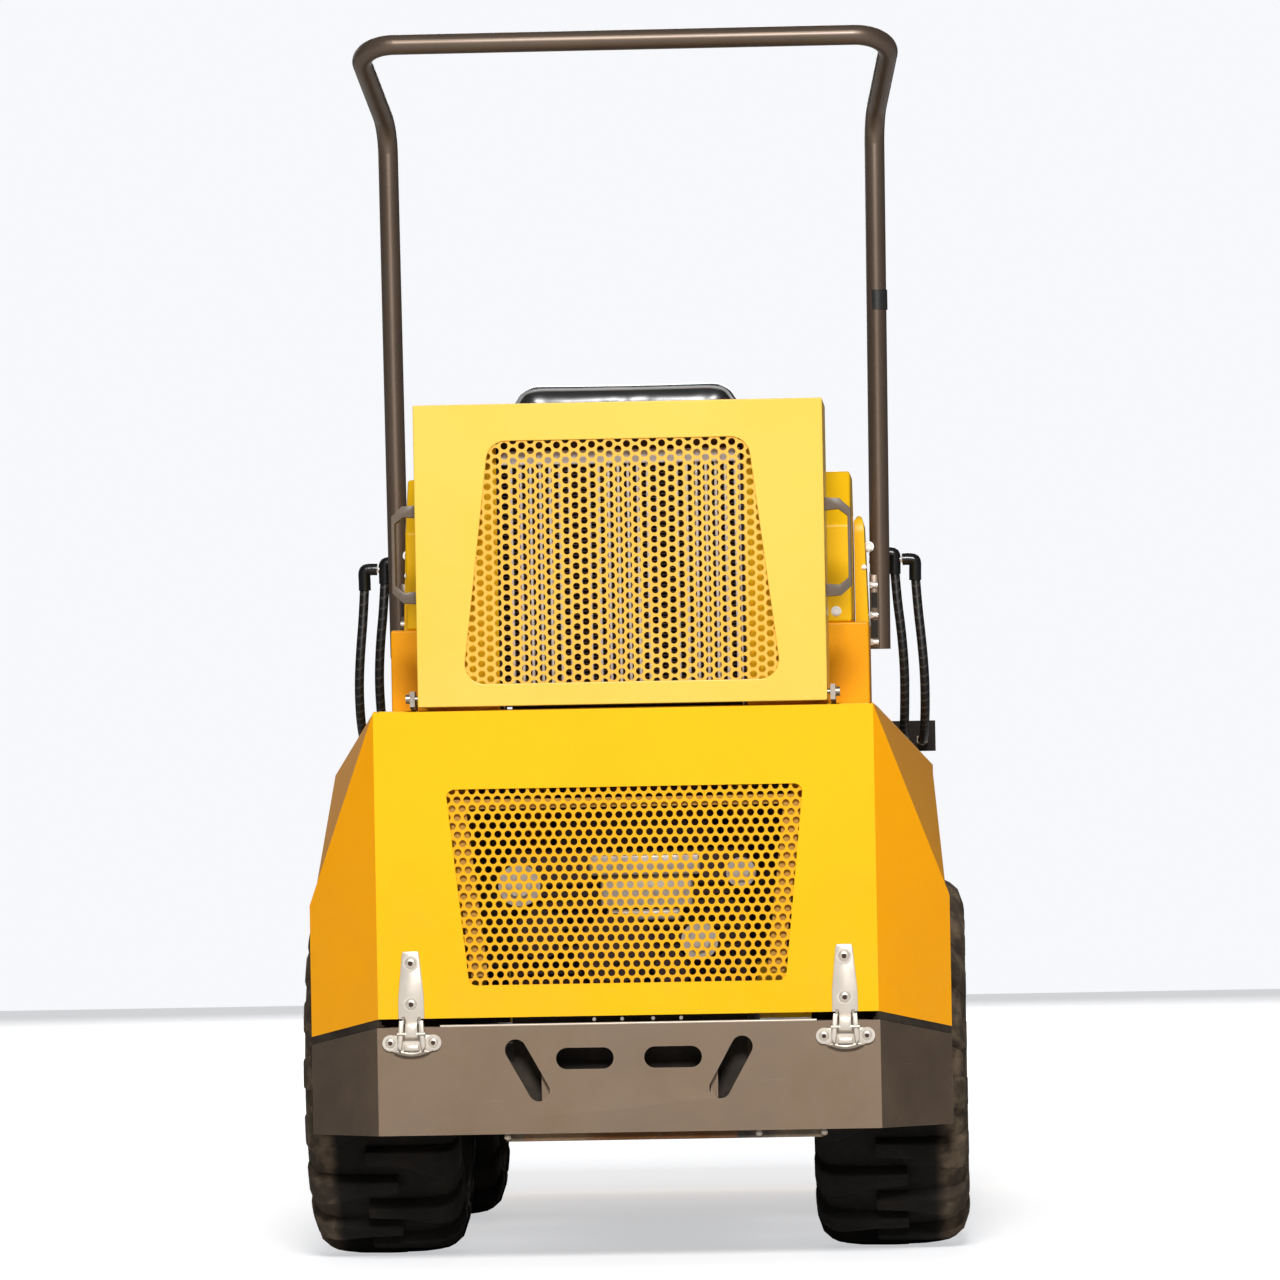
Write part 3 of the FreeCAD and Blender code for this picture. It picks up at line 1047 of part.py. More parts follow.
def make_cylinder(label, foot, pin, rotation):
    """Hydraulic cylinder drawn along +Y: barrel from its foot eye, rod from its own eye."""
    run = (pin - foot).Length
    barrel_radius, rod_radius = f"dims.{label}_barrel", f"dims.{label}_rod"
    barrel_long, rod_long = f"({run} - dims.{label}_show)", f"({run} - dims.{label}_bury)"
    eye, half = "dims.eye_radius", "dims.eye_half"
    bore = "dims.eye_pin + dims.pin_gap"
    outer = rod(f"{label}_tube", barrel_radius, f"{barrel_long} - {eye} * 0.6",
                ("0", f"{eye} * 0.6", "0"), ALONG_Y)
    inside = rod(f"{label}_inside", f"{barrel_radius} - 5", f"{barrel_long} - {eye} - 34",
                 ("0", f"{eye} + 8", "0"), ALONG_Y)
    mouth = rod(f"{label}_mouth", f"{rod_radius} + dims.pin_gap", f"{barrel_long}",
                ("0", f"{eye} + 8", "0"), ALONG_Y)
    foot_eye = rod(f"{label}_foot_eye", eye, f"2 * {half}", (f"-{half}", "0", "0"))
    foot_bore = rod(f"{label}_foot_bore", bore, f"2 * {half} + 2", (f"-{half} - 1", "0", "0"))
    barrel = cut(f"{label}_barrel_set", fuse(f"{label}_shell", [outer, foot_eye]),
                 fuse(f"{label}_cuts", [inside, mouth, foot_bore]))
    barrel.Placement = FreeCAD.Placement(foot, rotation)
    keep(barrel, f"{label}_barrel")
    shaft = rod(f"{label}_shaft", rod_radius, rod_long, ("0", f"-{rod_long}", "0"), ALONG_Y)
    rod_eye = rod(f"{label}_rod_eye", f"{eye} - 3", f"2 * {half}", (f"-{half}", "0", "0"))
    rod_bore = rod(f"{label}_rod_bore", bore, f"2 * {half} + 2", (f"-{half} - 1", "0", "0"))
    ram = cut(f"{label}_ram", fuse(f"{label}_rod_blank", [shaft, rod_eye]), rod_bore)
    ram.Placement = FreeCAD.Placement(pin, rotation)
    keep(ram, f"{label}_rod")


def boom_point(along, rise):
    """Place of a point given along the boom and above its middle line."""
    turn = math.radians(value("dims.boom_angle"))
    return Vector(0, value(boom_pin_y) + along * math.cos(turn) + rise * math.sin(turn),
                  value("dims.boom_pin_z") - along * math.sin(turn) + rise * math.cos(turn))


def make_cylinders():
    lift_foot = Vector(0, value(f"{pivot_y} + dims.lift_foot_ahead"), value("dims.lift_foot_z"))
    lift_pin = boom_point(value("dims.lift_pin_along"), -value("dims.lift_pin_drop"))
    tilt_foot = boom_point(value("dims.tilt_foot_along"), value("dims.tilt_foot_rise"))
    tilt_pin = Vector(0, value(bucket_pin_y), value(bucket_pin_z) + value("dims.tilt_ear_rise"))
    for label, foot, pin in (("lift", lift_foot, lift_pin), ("tilt", tilt_foot, tilt_pin)):
        run = pin - foot
        angle = math.degrees(math.atan2(run.z, run.y))
        make_cylinder(label, foot, pin, FreeCAD.Rotation(Vector(1, 0, 0), angle))
    height = value("dims.steer_z")
    foot = Vector(value("dims.steer_foot_x"), value(f"{pivot_y} - dims.steer_foot_back"), height)
    pin = Vector(value("dims.steer_pin_x"), value(pivot_y), height)
    run = pin - foot
    heading = FreeCAD.Rotation(Vector(0, 0, 1), -math.degrees(math.atan2(run.x, run.y)))
    make_cylinder("steer", foot, pin, heading * FreeCAD.Rotation(Vector(0, 1, 0), 90))


def make_bucket():
    """Folded back and floor, two cheeks and the ears that the boom and cylinder hold."""
    wall, half = "dims.bucket_wall", "dims.bucket_half"
    top = ("dims.bucket_back_top", "dims.bucket_high")
    knee = ("dims.bucket_back", "-dims.bucket_floor / 2")
    heel = ("dims.bucket_heel", "-dims.bucket_floor")
    lip = ("dims.bucket_lip", "-dims.bucket_floor")
    sheet = [top, knee, heel, lip, (lip[0], f"{lip[1]} + {wall}"),
             (f"{heel[0]} + {wall} * 0.4", f"{heel[1]} + {wall}"),
             (f"{knee[0]} + {wall}", f"{knee[1]} + {wall} * 0.4"),
             (f"{top[0]} + {wall}", f"{top[1]} - 6"), ("dims.bucket_back_top + 46", f"{top[1]} - 6"),
             ("dims.bucket_back_top + 46", top[1])]
    pin_at = ("0", bucket_pin_y, bucket_pin_z)
    shell = prism("bucket_sheet", "YZ_Plane", sheet, f"2 * {half}", (f"-{half}",) + pin_at[1:])
    cheek = [top, knee, heel, lip, ("dims.bucket_lip - 20", "-dims.bucket_floor + 50"),
             ("dims.bucket_lip - 190", "dims.bucket_side_top + 70"),
             ("dims.bucket_back_top + 46", top[1])]
    cheeks = [prism(f"bucket_cheek_{name}", "YZ_Plane", cheek, wall, (x,) + pin_at[1:])
              for name, x in (("right", f"{half} - {wall}"), ("left", f"-{half}"))]
    ear = [("-34", "-12"), ("-14", "-36"), ("dims.bucket_back + 3", "-60"),
           ("dims.bucket_back_top + 1", "dims.tilt_ear_rise + 60"), ("24", "dims.tilt_ear_rise + 34"),
           ("-24", "dims.tilt_ear_rise + 14"), ("-26", "dims.tilt_ear_rise - 20"), ("-34", "20")]
    holes = [(("0", "0"), "dims.eye_pin + 6 + dims.pin_gap"),
             (("0", "dims.tilt_ear_rise"), "dims.eye_pin")]
    ears = []
    for name, x in (("right", "dims.bucket_ear_gap"),
                    ("left", "-dims.bucket_ear_gap - dims.bucket_ear_wall")):
        ears.append(prism(f"bucket_ear_{name}", "YZ_Plane", ear, "dims.bucket_ear_wall",
                          (x,) + pin_at[1:], holes=holes))
    stub = "(dims.bucket_ear_gap + dims.bucket_ear_wall + 8 - dims.eye_half - 5)"
    for name, x in (("right", "dims.eye_half + 5"), ("left", f"-(dims.eye_half + 5) - {stub}")):
        ears.append(rod(f"tilt_stub_{name}", "dims.eye_pin + 3", stub,
                        (x, bucket_pin_y, f"{bucket_pin_z} + dims.tilt_ear_rise")))
    keep(fuse("bucket_set", [shell] + cheeks + ears), "bucket")
    edge = [("dims.bucket_lip - dims.edge_deep", "-dims.bucket_floor"),
            ("dims.bucket_lip + 20", "-dims.bucket_floor - 4"),
            ("dims.bucket_lip + 20", "-dims.bucket_floor - 6"),
            ("dims.bucket_lip", "-dims.bucket_floor - dims.edge_wall"),
            ("dims.bucket_lip - dims.edge_deep", "-dims.bucket_floor - dims.edge_wall")]
    keep(prism("edge_bar", "YZ_Plane", edge, f"2 * {half}", (f"-{half}",) + pin_at[1:]),
         "cutting_edge")


def make_hoses():
    """Hydraulic hoses looping down past the fenders, each a tube of runs and arcs."""
    radius = value("dims.hose_radius")
    for side, sign in (("right", 1), ("left", -1)):
        for lane, route in HOSE_ROUTES.items():
            points = [Vector(sign * x, y, z) for x, y, z in route]
            radii = []
            for before, corner, after in zip(points, points[1:], points[2:]):
                shorter = min(before.distanceToPoint(corner), corner.distanceToPoint(after))
                turn = (corner - before).getAngle(after - corner)
                radii.append(0.45 * shorter / math.tan(turn / 2))
            wire = rounded_wire(points, radii)
            tube = tube_along(wire, radius)
            expected = math.pi * radius ** 2 * wire.Length
            print(side, lane, "length", round(wire.Length), "smallest radius",
                  round(min(radii)), "volume ratio", round(tube.Volume / expected, 4))
            keep(computed(f"hose_tube_{side}_{lane}", tube), f"hose_{side}_{lane}")


def make_fittings():
    """Elbows on nipples from the fins, and the lower ends' nuts on the fenders' plates."""
    radius, leg = value("dims.elbow_radius"), value("dims.elbow_leg")
    fittings = []
    for sign in (1, -1):
        tops = []
        for lane, route in HOSE_ROUTES.items():
            upper, lower = route[0], route[-1]
            corner = Vector(sign * upper[0], upper[1], upper[2] + leg)
            wire = rounded_wire([corner - Vector(sign * leg, 0, 0), corner,
                                 corner - Vector(0, 0, leg)], [value("dims.elbow_bend")])
            elbow = computed(f"hose_elbow{sign}_{lane}", tube_along(wire, radius))
            fin = "(dims.rops_foot_x - dims.rops_tube)"
            long = f"({upper[0]} - dims.elbow_leg - {fin})"
            nipple = rod(f"hose_nipple{sign}_{lane}", "dims.nipple_radius", long,
                         (fin if sign > 0 else f"-{fin} - {long}", f"{upper[1]}",
                          f"{upper[2]} + dims.elbow_leg"))
            tops += [elbow, nipple]
            ahead = "dims.hose_nut + dims.hose_plate_wall"
            for end, start in (("near", f"{lower[1]}"), ("far", f"{lower[1]} + {ahead}")):
                fittings.append(rod(f"hose_nut{sign}_{lane}_{end}", "dims.elbow_radius",
                                    "dims.hose_nut", (f"{sign * lower[0]}", start,
                                                      f"{lower[2]}"), ALONG_Y))
        fittings.append(fuse(f"hose_top{sign}", tops))
    keep(compound_of("fitting_set", fittings), "hose_fittings")


def make_all():
    make_rear_frame()
    make_pivot_pin()
    make_bumper()
    make_axle("rear_axle", rear_axle_y)
    make_engine()
    make_fenders()
    make_deck()
    make_side_boxes()
    make_fins()
    make_door()
    make_cover()
    make_cover_brackets()
    make_handles()
    make_cooler()
    make_roll_bar()
    make_seat()
    make_floor()
    make_steering()
    make_levers()
    make_hinges()
    make_hoses()
    make_fittings()
    make_front_frame()
    make_tower()
    make_front_pins()
    make_axle("front_axle", front_axle_y)
    make_boom()
    make_boom_pins()
    make_cylinders()
    make_bucket()
    tyre = make_tyre()
    for corner, side, axle_y in (("rear_left", -1, rear_axle_y), ("rear_right", 1, rear_axle_y),
                                 ("front_left", -1, front_axle_y),
                                 ("front_right", 1, front_axle_y)):
        make_wheel(corner, side, axle_y, tyre)


def check_and_write():
    """Stop on any failed object or bad shape, then write each sub-part."""
    doc.recompute()
    failed = [item.Label for item in doc.Objects
              if "Invalid" in item.State or "Error" in item.State]
    bad = [item.Label for item in sub_parts
           if item.Shape.isNull() or not item.Shape.isValid() or not item.Shape.Solids]
    if failed or bad:
        raise SystemExit(f"failed objects: {failed}; bad shapes: {bad}")
    os.makedirs("parts", exist_ok=True)
    whole = FreeCAD.BoundBox()
    for item in sub_parts:
        item.Shape.exportStep(f"parts/{item.Label}.step")
        whole.add(item.Shape.BoundBox)
    print(len(sub_parts), "sub-parts, box", whole)


make_all()
check_and_write()
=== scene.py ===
import math
import bpy
import bmesh
from mathutils import Matrix, Vector


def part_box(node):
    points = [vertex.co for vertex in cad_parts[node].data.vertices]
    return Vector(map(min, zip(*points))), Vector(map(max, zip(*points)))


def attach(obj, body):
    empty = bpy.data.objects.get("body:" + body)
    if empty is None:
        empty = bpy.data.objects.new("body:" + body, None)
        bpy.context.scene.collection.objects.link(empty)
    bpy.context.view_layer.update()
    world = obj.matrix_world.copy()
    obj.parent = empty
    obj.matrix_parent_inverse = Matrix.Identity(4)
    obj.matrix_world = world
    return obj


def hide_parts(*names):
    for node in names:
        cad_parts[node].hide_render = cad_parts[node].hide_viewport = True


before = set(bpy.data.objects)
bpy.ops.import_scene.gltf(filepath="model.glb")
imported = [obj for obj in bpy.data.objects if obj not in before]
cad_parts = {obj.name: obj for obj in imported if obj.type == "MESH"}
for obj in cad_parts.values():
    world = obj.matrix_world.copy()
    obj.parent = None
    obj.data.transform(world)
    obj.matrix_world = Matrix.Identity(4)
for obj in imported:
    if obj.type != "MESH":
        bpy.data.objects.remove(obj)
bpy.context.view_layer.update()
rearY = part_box("engine_door")[0][1] # the door's face is the rear plane of the machine
print("frame loaded")

viewSpec = {
    "distance": 13.0, # from the rear face to the lens, m
    "sideStep": 0.5346, "height": 0.7933, # lens place beside the middle and above the ground
    "aimX": 0.0302, "aimZ": 1.0071, # point of the rear plane at the picture's middle
    "lens": 227.36, "roll": 1.0576,
}
skySpec = {"color": (0.96, 0.97, 1.0, 1), "strength": 0.10, "backStrength": 0.97}
lampSpecs = { # place, aim, size, power
    "key": ((0.5, -11.2, 6.2), (0, -0.6, 1.0), 2.6, 1250),
    "fill": ((6.0, -6.0, 3.0), (0, -0.2, 0.9), 4.0, 10),
    "top": ((0.0, -2.0, 7.0), (0, -0.5, 0), 6.0, 16),
    "rim": ((-5.0, 6.0, 4.0), (0, 0, 0.8), 4.0, 40),
    "front": ((-0.5, 11.0, 5.2), (0, 0.4, 0.7), 7.0, 560),
}


def aimed(place, target, roll=0):
    direction = Vector(target) - Vector(place)
    turn = direction.to_track_quat("-Z", "Y").to_matrix().to_4x4()
    return Matrix.Translation(place) @ turn @ Matrix.Rotation(math.radians(roll), 4, "Z")


def linked(name, data):
    piece = bpy.data.objects.new(name, data)
    bpy.context.collection.objects.link(piece)
    return piece


def setCamera():
    data = bpy.data.cameras.new("viewCamera")
    data.lens, data.sensor_width, data.clip_end = viewSpec["lens"], 36, 200
    camera = linked("viewCamera", data)
    place = (viewSpec["sideStep"], rearY - viewSpec["distance"], viewSpec["height"])
    target = (viewSpec["aimX"], rearY, viewSpec["aimZ"])
    camera.matrix_world = aimed(place, target, -viewSpec["roll"])
    bpy.context.scene.camera = camera


def setLights():
    world = bpy.data.worlds.new("softSky")
    bpy.context.scene.world = world
    world.use_nodes = True
    # the lens sees a paler sky than the one that lights the machine
    tree = world.node_tree
    background = tree.nodes["Background"]
    background.inputs["Color"].default_value = skySpec["color"]
    path = tree.nodes.new("ShaderNodeLightPath")
    level = tree.nodes.new("ShaderNodeMapRange")
    level.inputs["To Min"].default_value = skySpec["strength"]
    level.inputs["To Max"].default_value = skySpec["backStrength"]
    tree.links.new(path.outputs["Is Camera Ray"], level.inputs["Value"])
    tree.links.new(level.outputs["Result"], background.inputs["Strength"])
    for name, (place, aim, size, power) in lampSpecs.items():
        data = bpy.data.lights.new(name, "AREA")
        data.shape, data.size, data.energy = "DISK", size, power
        linked(name, data).matrix_world = aimed(place, aim)
    bpy.context.scene.view_settings.view_transform = "Standard"


setCamera()
setLights()
print("camera and lights set")


# shader groups shared by several finishes
def newGroup(name, inputs, outputs):
    # inputs: name -> number, outputs: name -> kind of value
    tree = bpy.data.node_groups.new(name, "ShaderNodeTree")
    for label, value in inputs.items():
        socket = tree.interface.new_socket(name=label, in_out="INPUT",
                                           socket_type="NodeSocketFloat")
        socket.default_value = value
    for label, kind in outputs.items():
        tree.interface.new_socket(name=label, in_out="OUTPUT", socket_type="NodeSocket" + kind)
    return tree, tree.nodes.new("NodeGroupInput").outputs, tree.nodes.new("NodeGroupOutput")


def setInputs(tree, node, links):
    # links: input name or index -> socket or plain value
    for key, source in links.items():
        if isinstance(source, bpy.types.NodeSocket):
            tree.links.new(source, node.inputs[key])
        else:
            node.inputs[key].default_value = source


def addNode(tree, kind, links={}, **settings):
    node = tree.nodes.new(kind)
    for key, setting in settings.items():
        setattr(node, key, setting)
    setInputs(tree, node, links)
    return node


def mathOf(tree, operation, first, second=0.0, clamp=False):
    return addNode(tree, "ShaderNodeMath", {0: first, 1: second}, operation=operation,
                   use_clamp=clamp).outputs[0]


def product(tree, first, second, clamp=False):
    return mathOf(tree, "MULTIPLY", first, second, clamp)


def total(tree, first, second, clamp=False):
    return mathOf(tree, "ADD", first, second, clamp)


def noiseOf(tree, coords, scale, detail, roughness):
    return addNode(tree, "ShaderNodeTexNoise", {"Vector": coords, "Scale": scale, "Detail": detail,
                                                "Roughness": roughness}).outputs["Fac"]


def objectCoords(tree):
    return addNode(tree, "ShaderNodeTexCoord").outputs["Object"]


def partOf(tree, vector, letter):
    return addNode(tree, "ShaderNodeSeparateXYZ", {0: vector}).outputs[letter]


def dotOf(tree, first, second):
    return addNode(tree, "ShaderNodeVectorMath", {0: first, 1: second},
                   operation="DOT_PRODUCT").outputs["Value"]


def rampOf(tree, source, low, high):
    # smooth step from 0 at low to 1 at high
    return addNode(tree, "ShaderNodeMapRange", {"Value": source, "From Min": low, "From Max": high},
                   interpolation_type="SMOOTHSTEP").outputs["Result"]


def mixColor(tree, factor, first, second):
    sources = {0: factor}
    for index, source in ((6, first), (7, second)):
        sources[index] = (*source, 1) if isinstance(source, tuple) else source
    return addNode(tree, "ShaderNodeMix", sources, data_type="RGBA").outputs[2]


def makeEdgeWear():
    # bright or bare rims: where the rounded normal leaves the true one, broken up by noise
    tree, start, end = newGroup("edgeWear", {"Width": 0.004, "Amount": 0.5}, {"Mask": "Float"})
    rounded = addNode(tree, "ShaderNodeBevel", {"Radius": start["Width"]}, samples=4).outputs[0]
    true = addNode(tree, "ShaderNodeNewGeometry").outputs["Normal"]
    edge = rampOf(tree, mathOf(tree, "SUBTRACT", 1.0, dotOf(tree, rounded, true)), 0.01, 0.22)
    broken = rampOf(tree, noiseOf(tree, objectCoords(tree), 38.0, 6.0, 0.7), 0.42, 0.68)
    mask = product(tree, product(tree, edge, broken), start["Amount"], True)
    setInputs(tree, end, {"Mask": mask})
    return tree


def makeDustFilm():
    # dust that gathers low down and on what faces up, in soft patches
    tree, start, end = newGroup("dustFilm", {
        "Amount": 0.4, "Low Height": 0.1, "High Height": 0.6, "On Top": 0.3, "Scale": 7.0},
        {"Mask": "Float"})
    coords = objectCoords(tree)
    lower = addNode(tree, "ShaderNodeMapRange", {
        "Value": partOf(tree, coords, "Z"), "From Min": start["Low Height"],
        "From Max": start["High Height"], "To Min": 1.0, "To Max": 0.0}).outputs["Result"]
    facing = partOf(tree, addNode(tree, "ShaderNodeNewGeometry").outputs["Normal"], "Z")
    above = product(tree, rampOf(tree, facing, 0.35, 0.95), start["On Top"])
    patches = rampOf(tree, noiseOf(tree, coords, start["Scale"], 7.0, 0.66), 0.34, 0.7)
    grains = noiseOf(tree, coords, 160.0, 3.0, 0.7)
    spread = product(tree, patches, total(tree, 0.55, product(tree, grains, 0.8)))
    film = product(tree, mathOf(tree, "MAXIMUM", lower, above), spread)
    setInputs(tree, end, {"Mask": product(tree, film, start["Amount"], True)})
    return tree


def makeSurfaceGrain():
    # fine unevenness as a normal, from two sizes of noise
    tree, start, end = newGroup("surfaceGrain", {"Scale": 90.0, "Depth": 0.0005, "Strength": 0.3},
                                {"Normal": "Vector"})
    coords = objectCoords(tree)
    fine = noiseOf(tree, coords, start["Scale"], 3.0, 0.5)
    broad = noiseOf(tree, coords, 6.0, 2.0, 0.5)
    bump = addNode(tree, "ShaderNodeBump", {
        "Height": total(tree, fine, product(tree, broad, 1.6)), "Distance": start["Depth"],
        "Strength": start["Strength"]})
    setInputs(tree, end, {"Normal": bump.outputs["Normal"]})
    return tree


def makeScuffs():
    # thin scratches running one way, and dull rubbed patches
    tree, start, end = newGroup("scuffs", {"Amount": 0.4, "Scale": 9.0},
                                {"Scratches": "Float", "Rubbed": "Float"})
    coords = objectCoords(tree)
    stretched = addNode(tree, "ShaderNodeMapping", {
        "Vector": coords, "Scale": (1.0, 1.0, 14.0), "Rotation": (0.2, 0.35, 0.1)}).outputs[0]
    lines = rampOf(tree, noiseOf(tree, stretched, start["Scale"], 8.0, 0.75), 0.62, 0.7)
    rubbed = rampOf(tree, noiseOf(tree, coords, 5.0, 5.0, 0.6), 0.45, 0.75)
    setInputs(tree, end, {"Scratches": product(tree, lines, start["Amount"], True),
                          "Rubbed": product(tree, rubbed, start["Amount"], True)})
    return tree


groups = {"edgeWear": makeEdgeWear(), "dustFilm": makeDustFilm(),
          "surfaceGrain": makeSurfaceGrain(), "scuffs": makeScuffs()}


def useGroup(tree, name, **values):
    links = {key.replace("_", " "): value for key, value in values.items()}
    return addNode(tree, "ShaderNodeGroup", links, node_tree=groups[name]).outputs


def newMaterial(name, roughness, metallic=0.0, coat=0.0, specular=0.5):
    material = bpy.data.materials.new(name)
    material.use_nodes = True
    tree = material.node_tree
    shader = tree.nodes["Principled BSDF"]
    setInputs(tree, shader, {
        "Roughness": roughness, "Metallic": metallic, "Coat Weight": coat, "Coat Roughness": 0.22,
        "Specular IOR Level": specular})
    return material, tree, shader


def paintFinish(name, spec):
    # sprayed enamel: mottled colour, orange peel, chipped rims and dust
    material, tree, shader = newMaterial(name, spec["roughness"], spec.get("metallic", 0.0),
                                         spec.get("coat", 0.04), spec.get("specular", 0.16))
    mottle = rampOf(tree, noiseOf(tree, objectCoords(tree), 3.2, 5.0, 0.6), 0.3, 0.75)
    color = mixColor(tree, mottle, spec["color"], spec["shade"])
    wear = useGroup(tree, "edgeWear", Width=0.004, Amount=spec["wear"])["Mask"]
    color = mixColor(tree, wear, color, spec["bare"])
    scuff = useGroup(tree, "scuffs", Amount=spec["scuff"], Scale=9.0)
    color = mixColor(tree, scuff["Scratches"], color, spec["scratch"])
    dust = useGroup(tree, "dustFilm", Amount=spec["dust"], Low_Height=0.15,
                    High_Height=spec.get("dustHeight", 0.75),
                    On_Top=spec.get("dustTop", 0.35))["Mask"]
    rough = total(tree, spec["roughness"], product(tree, scuff["Rubbed"], 0.22))
    grain = useGroup(tree, "surfaceGrain", Scale=120.0, Depth=0.0004, Strength=0.25)
    setInputs(tree, shader, {
        "Base Color": mixColor(tree, dust, color, (0.30, 0.22, 0.14)),
        "Roughness": total(tree, rough, product(tree, dust, 0.45), True),
        "Normal": grain["Normal"]})
    return material


def metalFinish(name, spec):
    material, tree, shader = newMaterial(name, spec["roughness"], spec.get("metallic", 1.0))
    spots = noiseOf(tree, objectCoords(tree), spec.get("stainScale", 22.0), 6.0, 0.65)
    stain = rampOf(tree, spots, 0.4, 0.8)
    color = mixColor(tree, product(tree, stain, spec["stain"]), spec["color"], spec["stainColor"])
    dust = useGroup(tree, "dustFilm", Amount=spec["dust"], Low_Height=0.1, High_Height=0.6,
                    On_Top=0.4)["Mask"]
    rough = total(tree, spec["roughness"], product(tree, stain, 0.18))
    grain = useGroup(tree, "surfaceGrain", Scale=260.0, Depth=0.0002, Strength=0.2)
    setInputs(tree, shader, {
        "Base Color": mixColor(tree, dust, color, (0.26, 0.19, 0.13)),
        "Roughness": total(tree, rough, product(tree, dust, 0.4), True),
        "Normal": grain["Normal"]})
    return material


def rubberFinish(name, spec):
    # moulded rubber or vinyl, with dust in patches
    material, tree, shader = newMaterial(name, spec["roughness"], 0.0, spec.get("coat", 0.0),
                                         spec.get("specular", 0.4))
    coords = objectCoords(tree)
    noise = noiseOf(tree, coords, spec.get("patchScale", 9.0), 7.0, 0.68)
    patches = rampOf(tree, noise, 0.36, 0.72)
    color = mixColor(tree, patches, spec["color"], spec["shade"])
    film = useGroup(tree, "dustFilm", Amount=spec["dust"], Low_Height=0.0,
                    High_Height=spec.get("dustHigh", 0.9), On_Top=0.5, Scale=11.0)["Mask"]
    if "sideFrom" in spec: # dust lies on the outer shoulders, little on the running face
        across = mathOf(tree, "ABSOLUTE", partOf(tree, coords, "X"))
        side = rampOf(tree, across, spec["sideFrom"], spec["sideFrom"] + 0.022)
        cakes = rampOf(tree, noiseOf(tree, coords, 24.0, 6.0, 0.6), 0.40, 0.66)
        caked = product(tree, side, total(tree, 0.30, product(tree, cakes, 0.7)))
        film = total(tree, caked, product(tree, film, 0.06), True)
    color = mixColor(tree, film, color, spec["dustColor"])
    grain = useGroup(tree, "surfaceGrain", Scale=spec.get("grain", 180.0),
                     Depth=spec.get("grainDepth", 0.0006), Strength=0.4)
    normal = grain["Normal"]
    if "wrapPitch" in spec: # spiral guard wound round a hose
        place = dotOf(tree, coords, (0.3, 1.0, -1.0))
        turn = mathOf(tree, "FRACT", mathOf(tree, "DIVIDE", place, spec["wrapPitch"]))
        glint = product(tree, rampOf(tree, turn, 0.70, 0.92), 0.8)
        color = mixColor(tree, glint, color, (0.055, 0.046, 0.038))
        bump = addNode(tree, "ShaderNodeBump", {
            "Height": turn, "Distance": 0.0022, "Strength": 0.9, "Normal": normal})
        normal = bump.outputs["Normal"]
    setInputs(tree, shader, {
        "Base Color": color, "Normal": normal,
        "Roughness": total(tree, spec["roughness"], product(tree, film, 0.3), True)})
    return material


def specsOf(keys, rows):
    # a row holds values in the keys' order, and may end with its own rarer ones
    specs = {}
    for name, row in rows.items():
        extras = row[len(keys)] if len(row) > len(keys) else {}
        specs[name] = dict(zip(keys, row), **extras)
    return specs


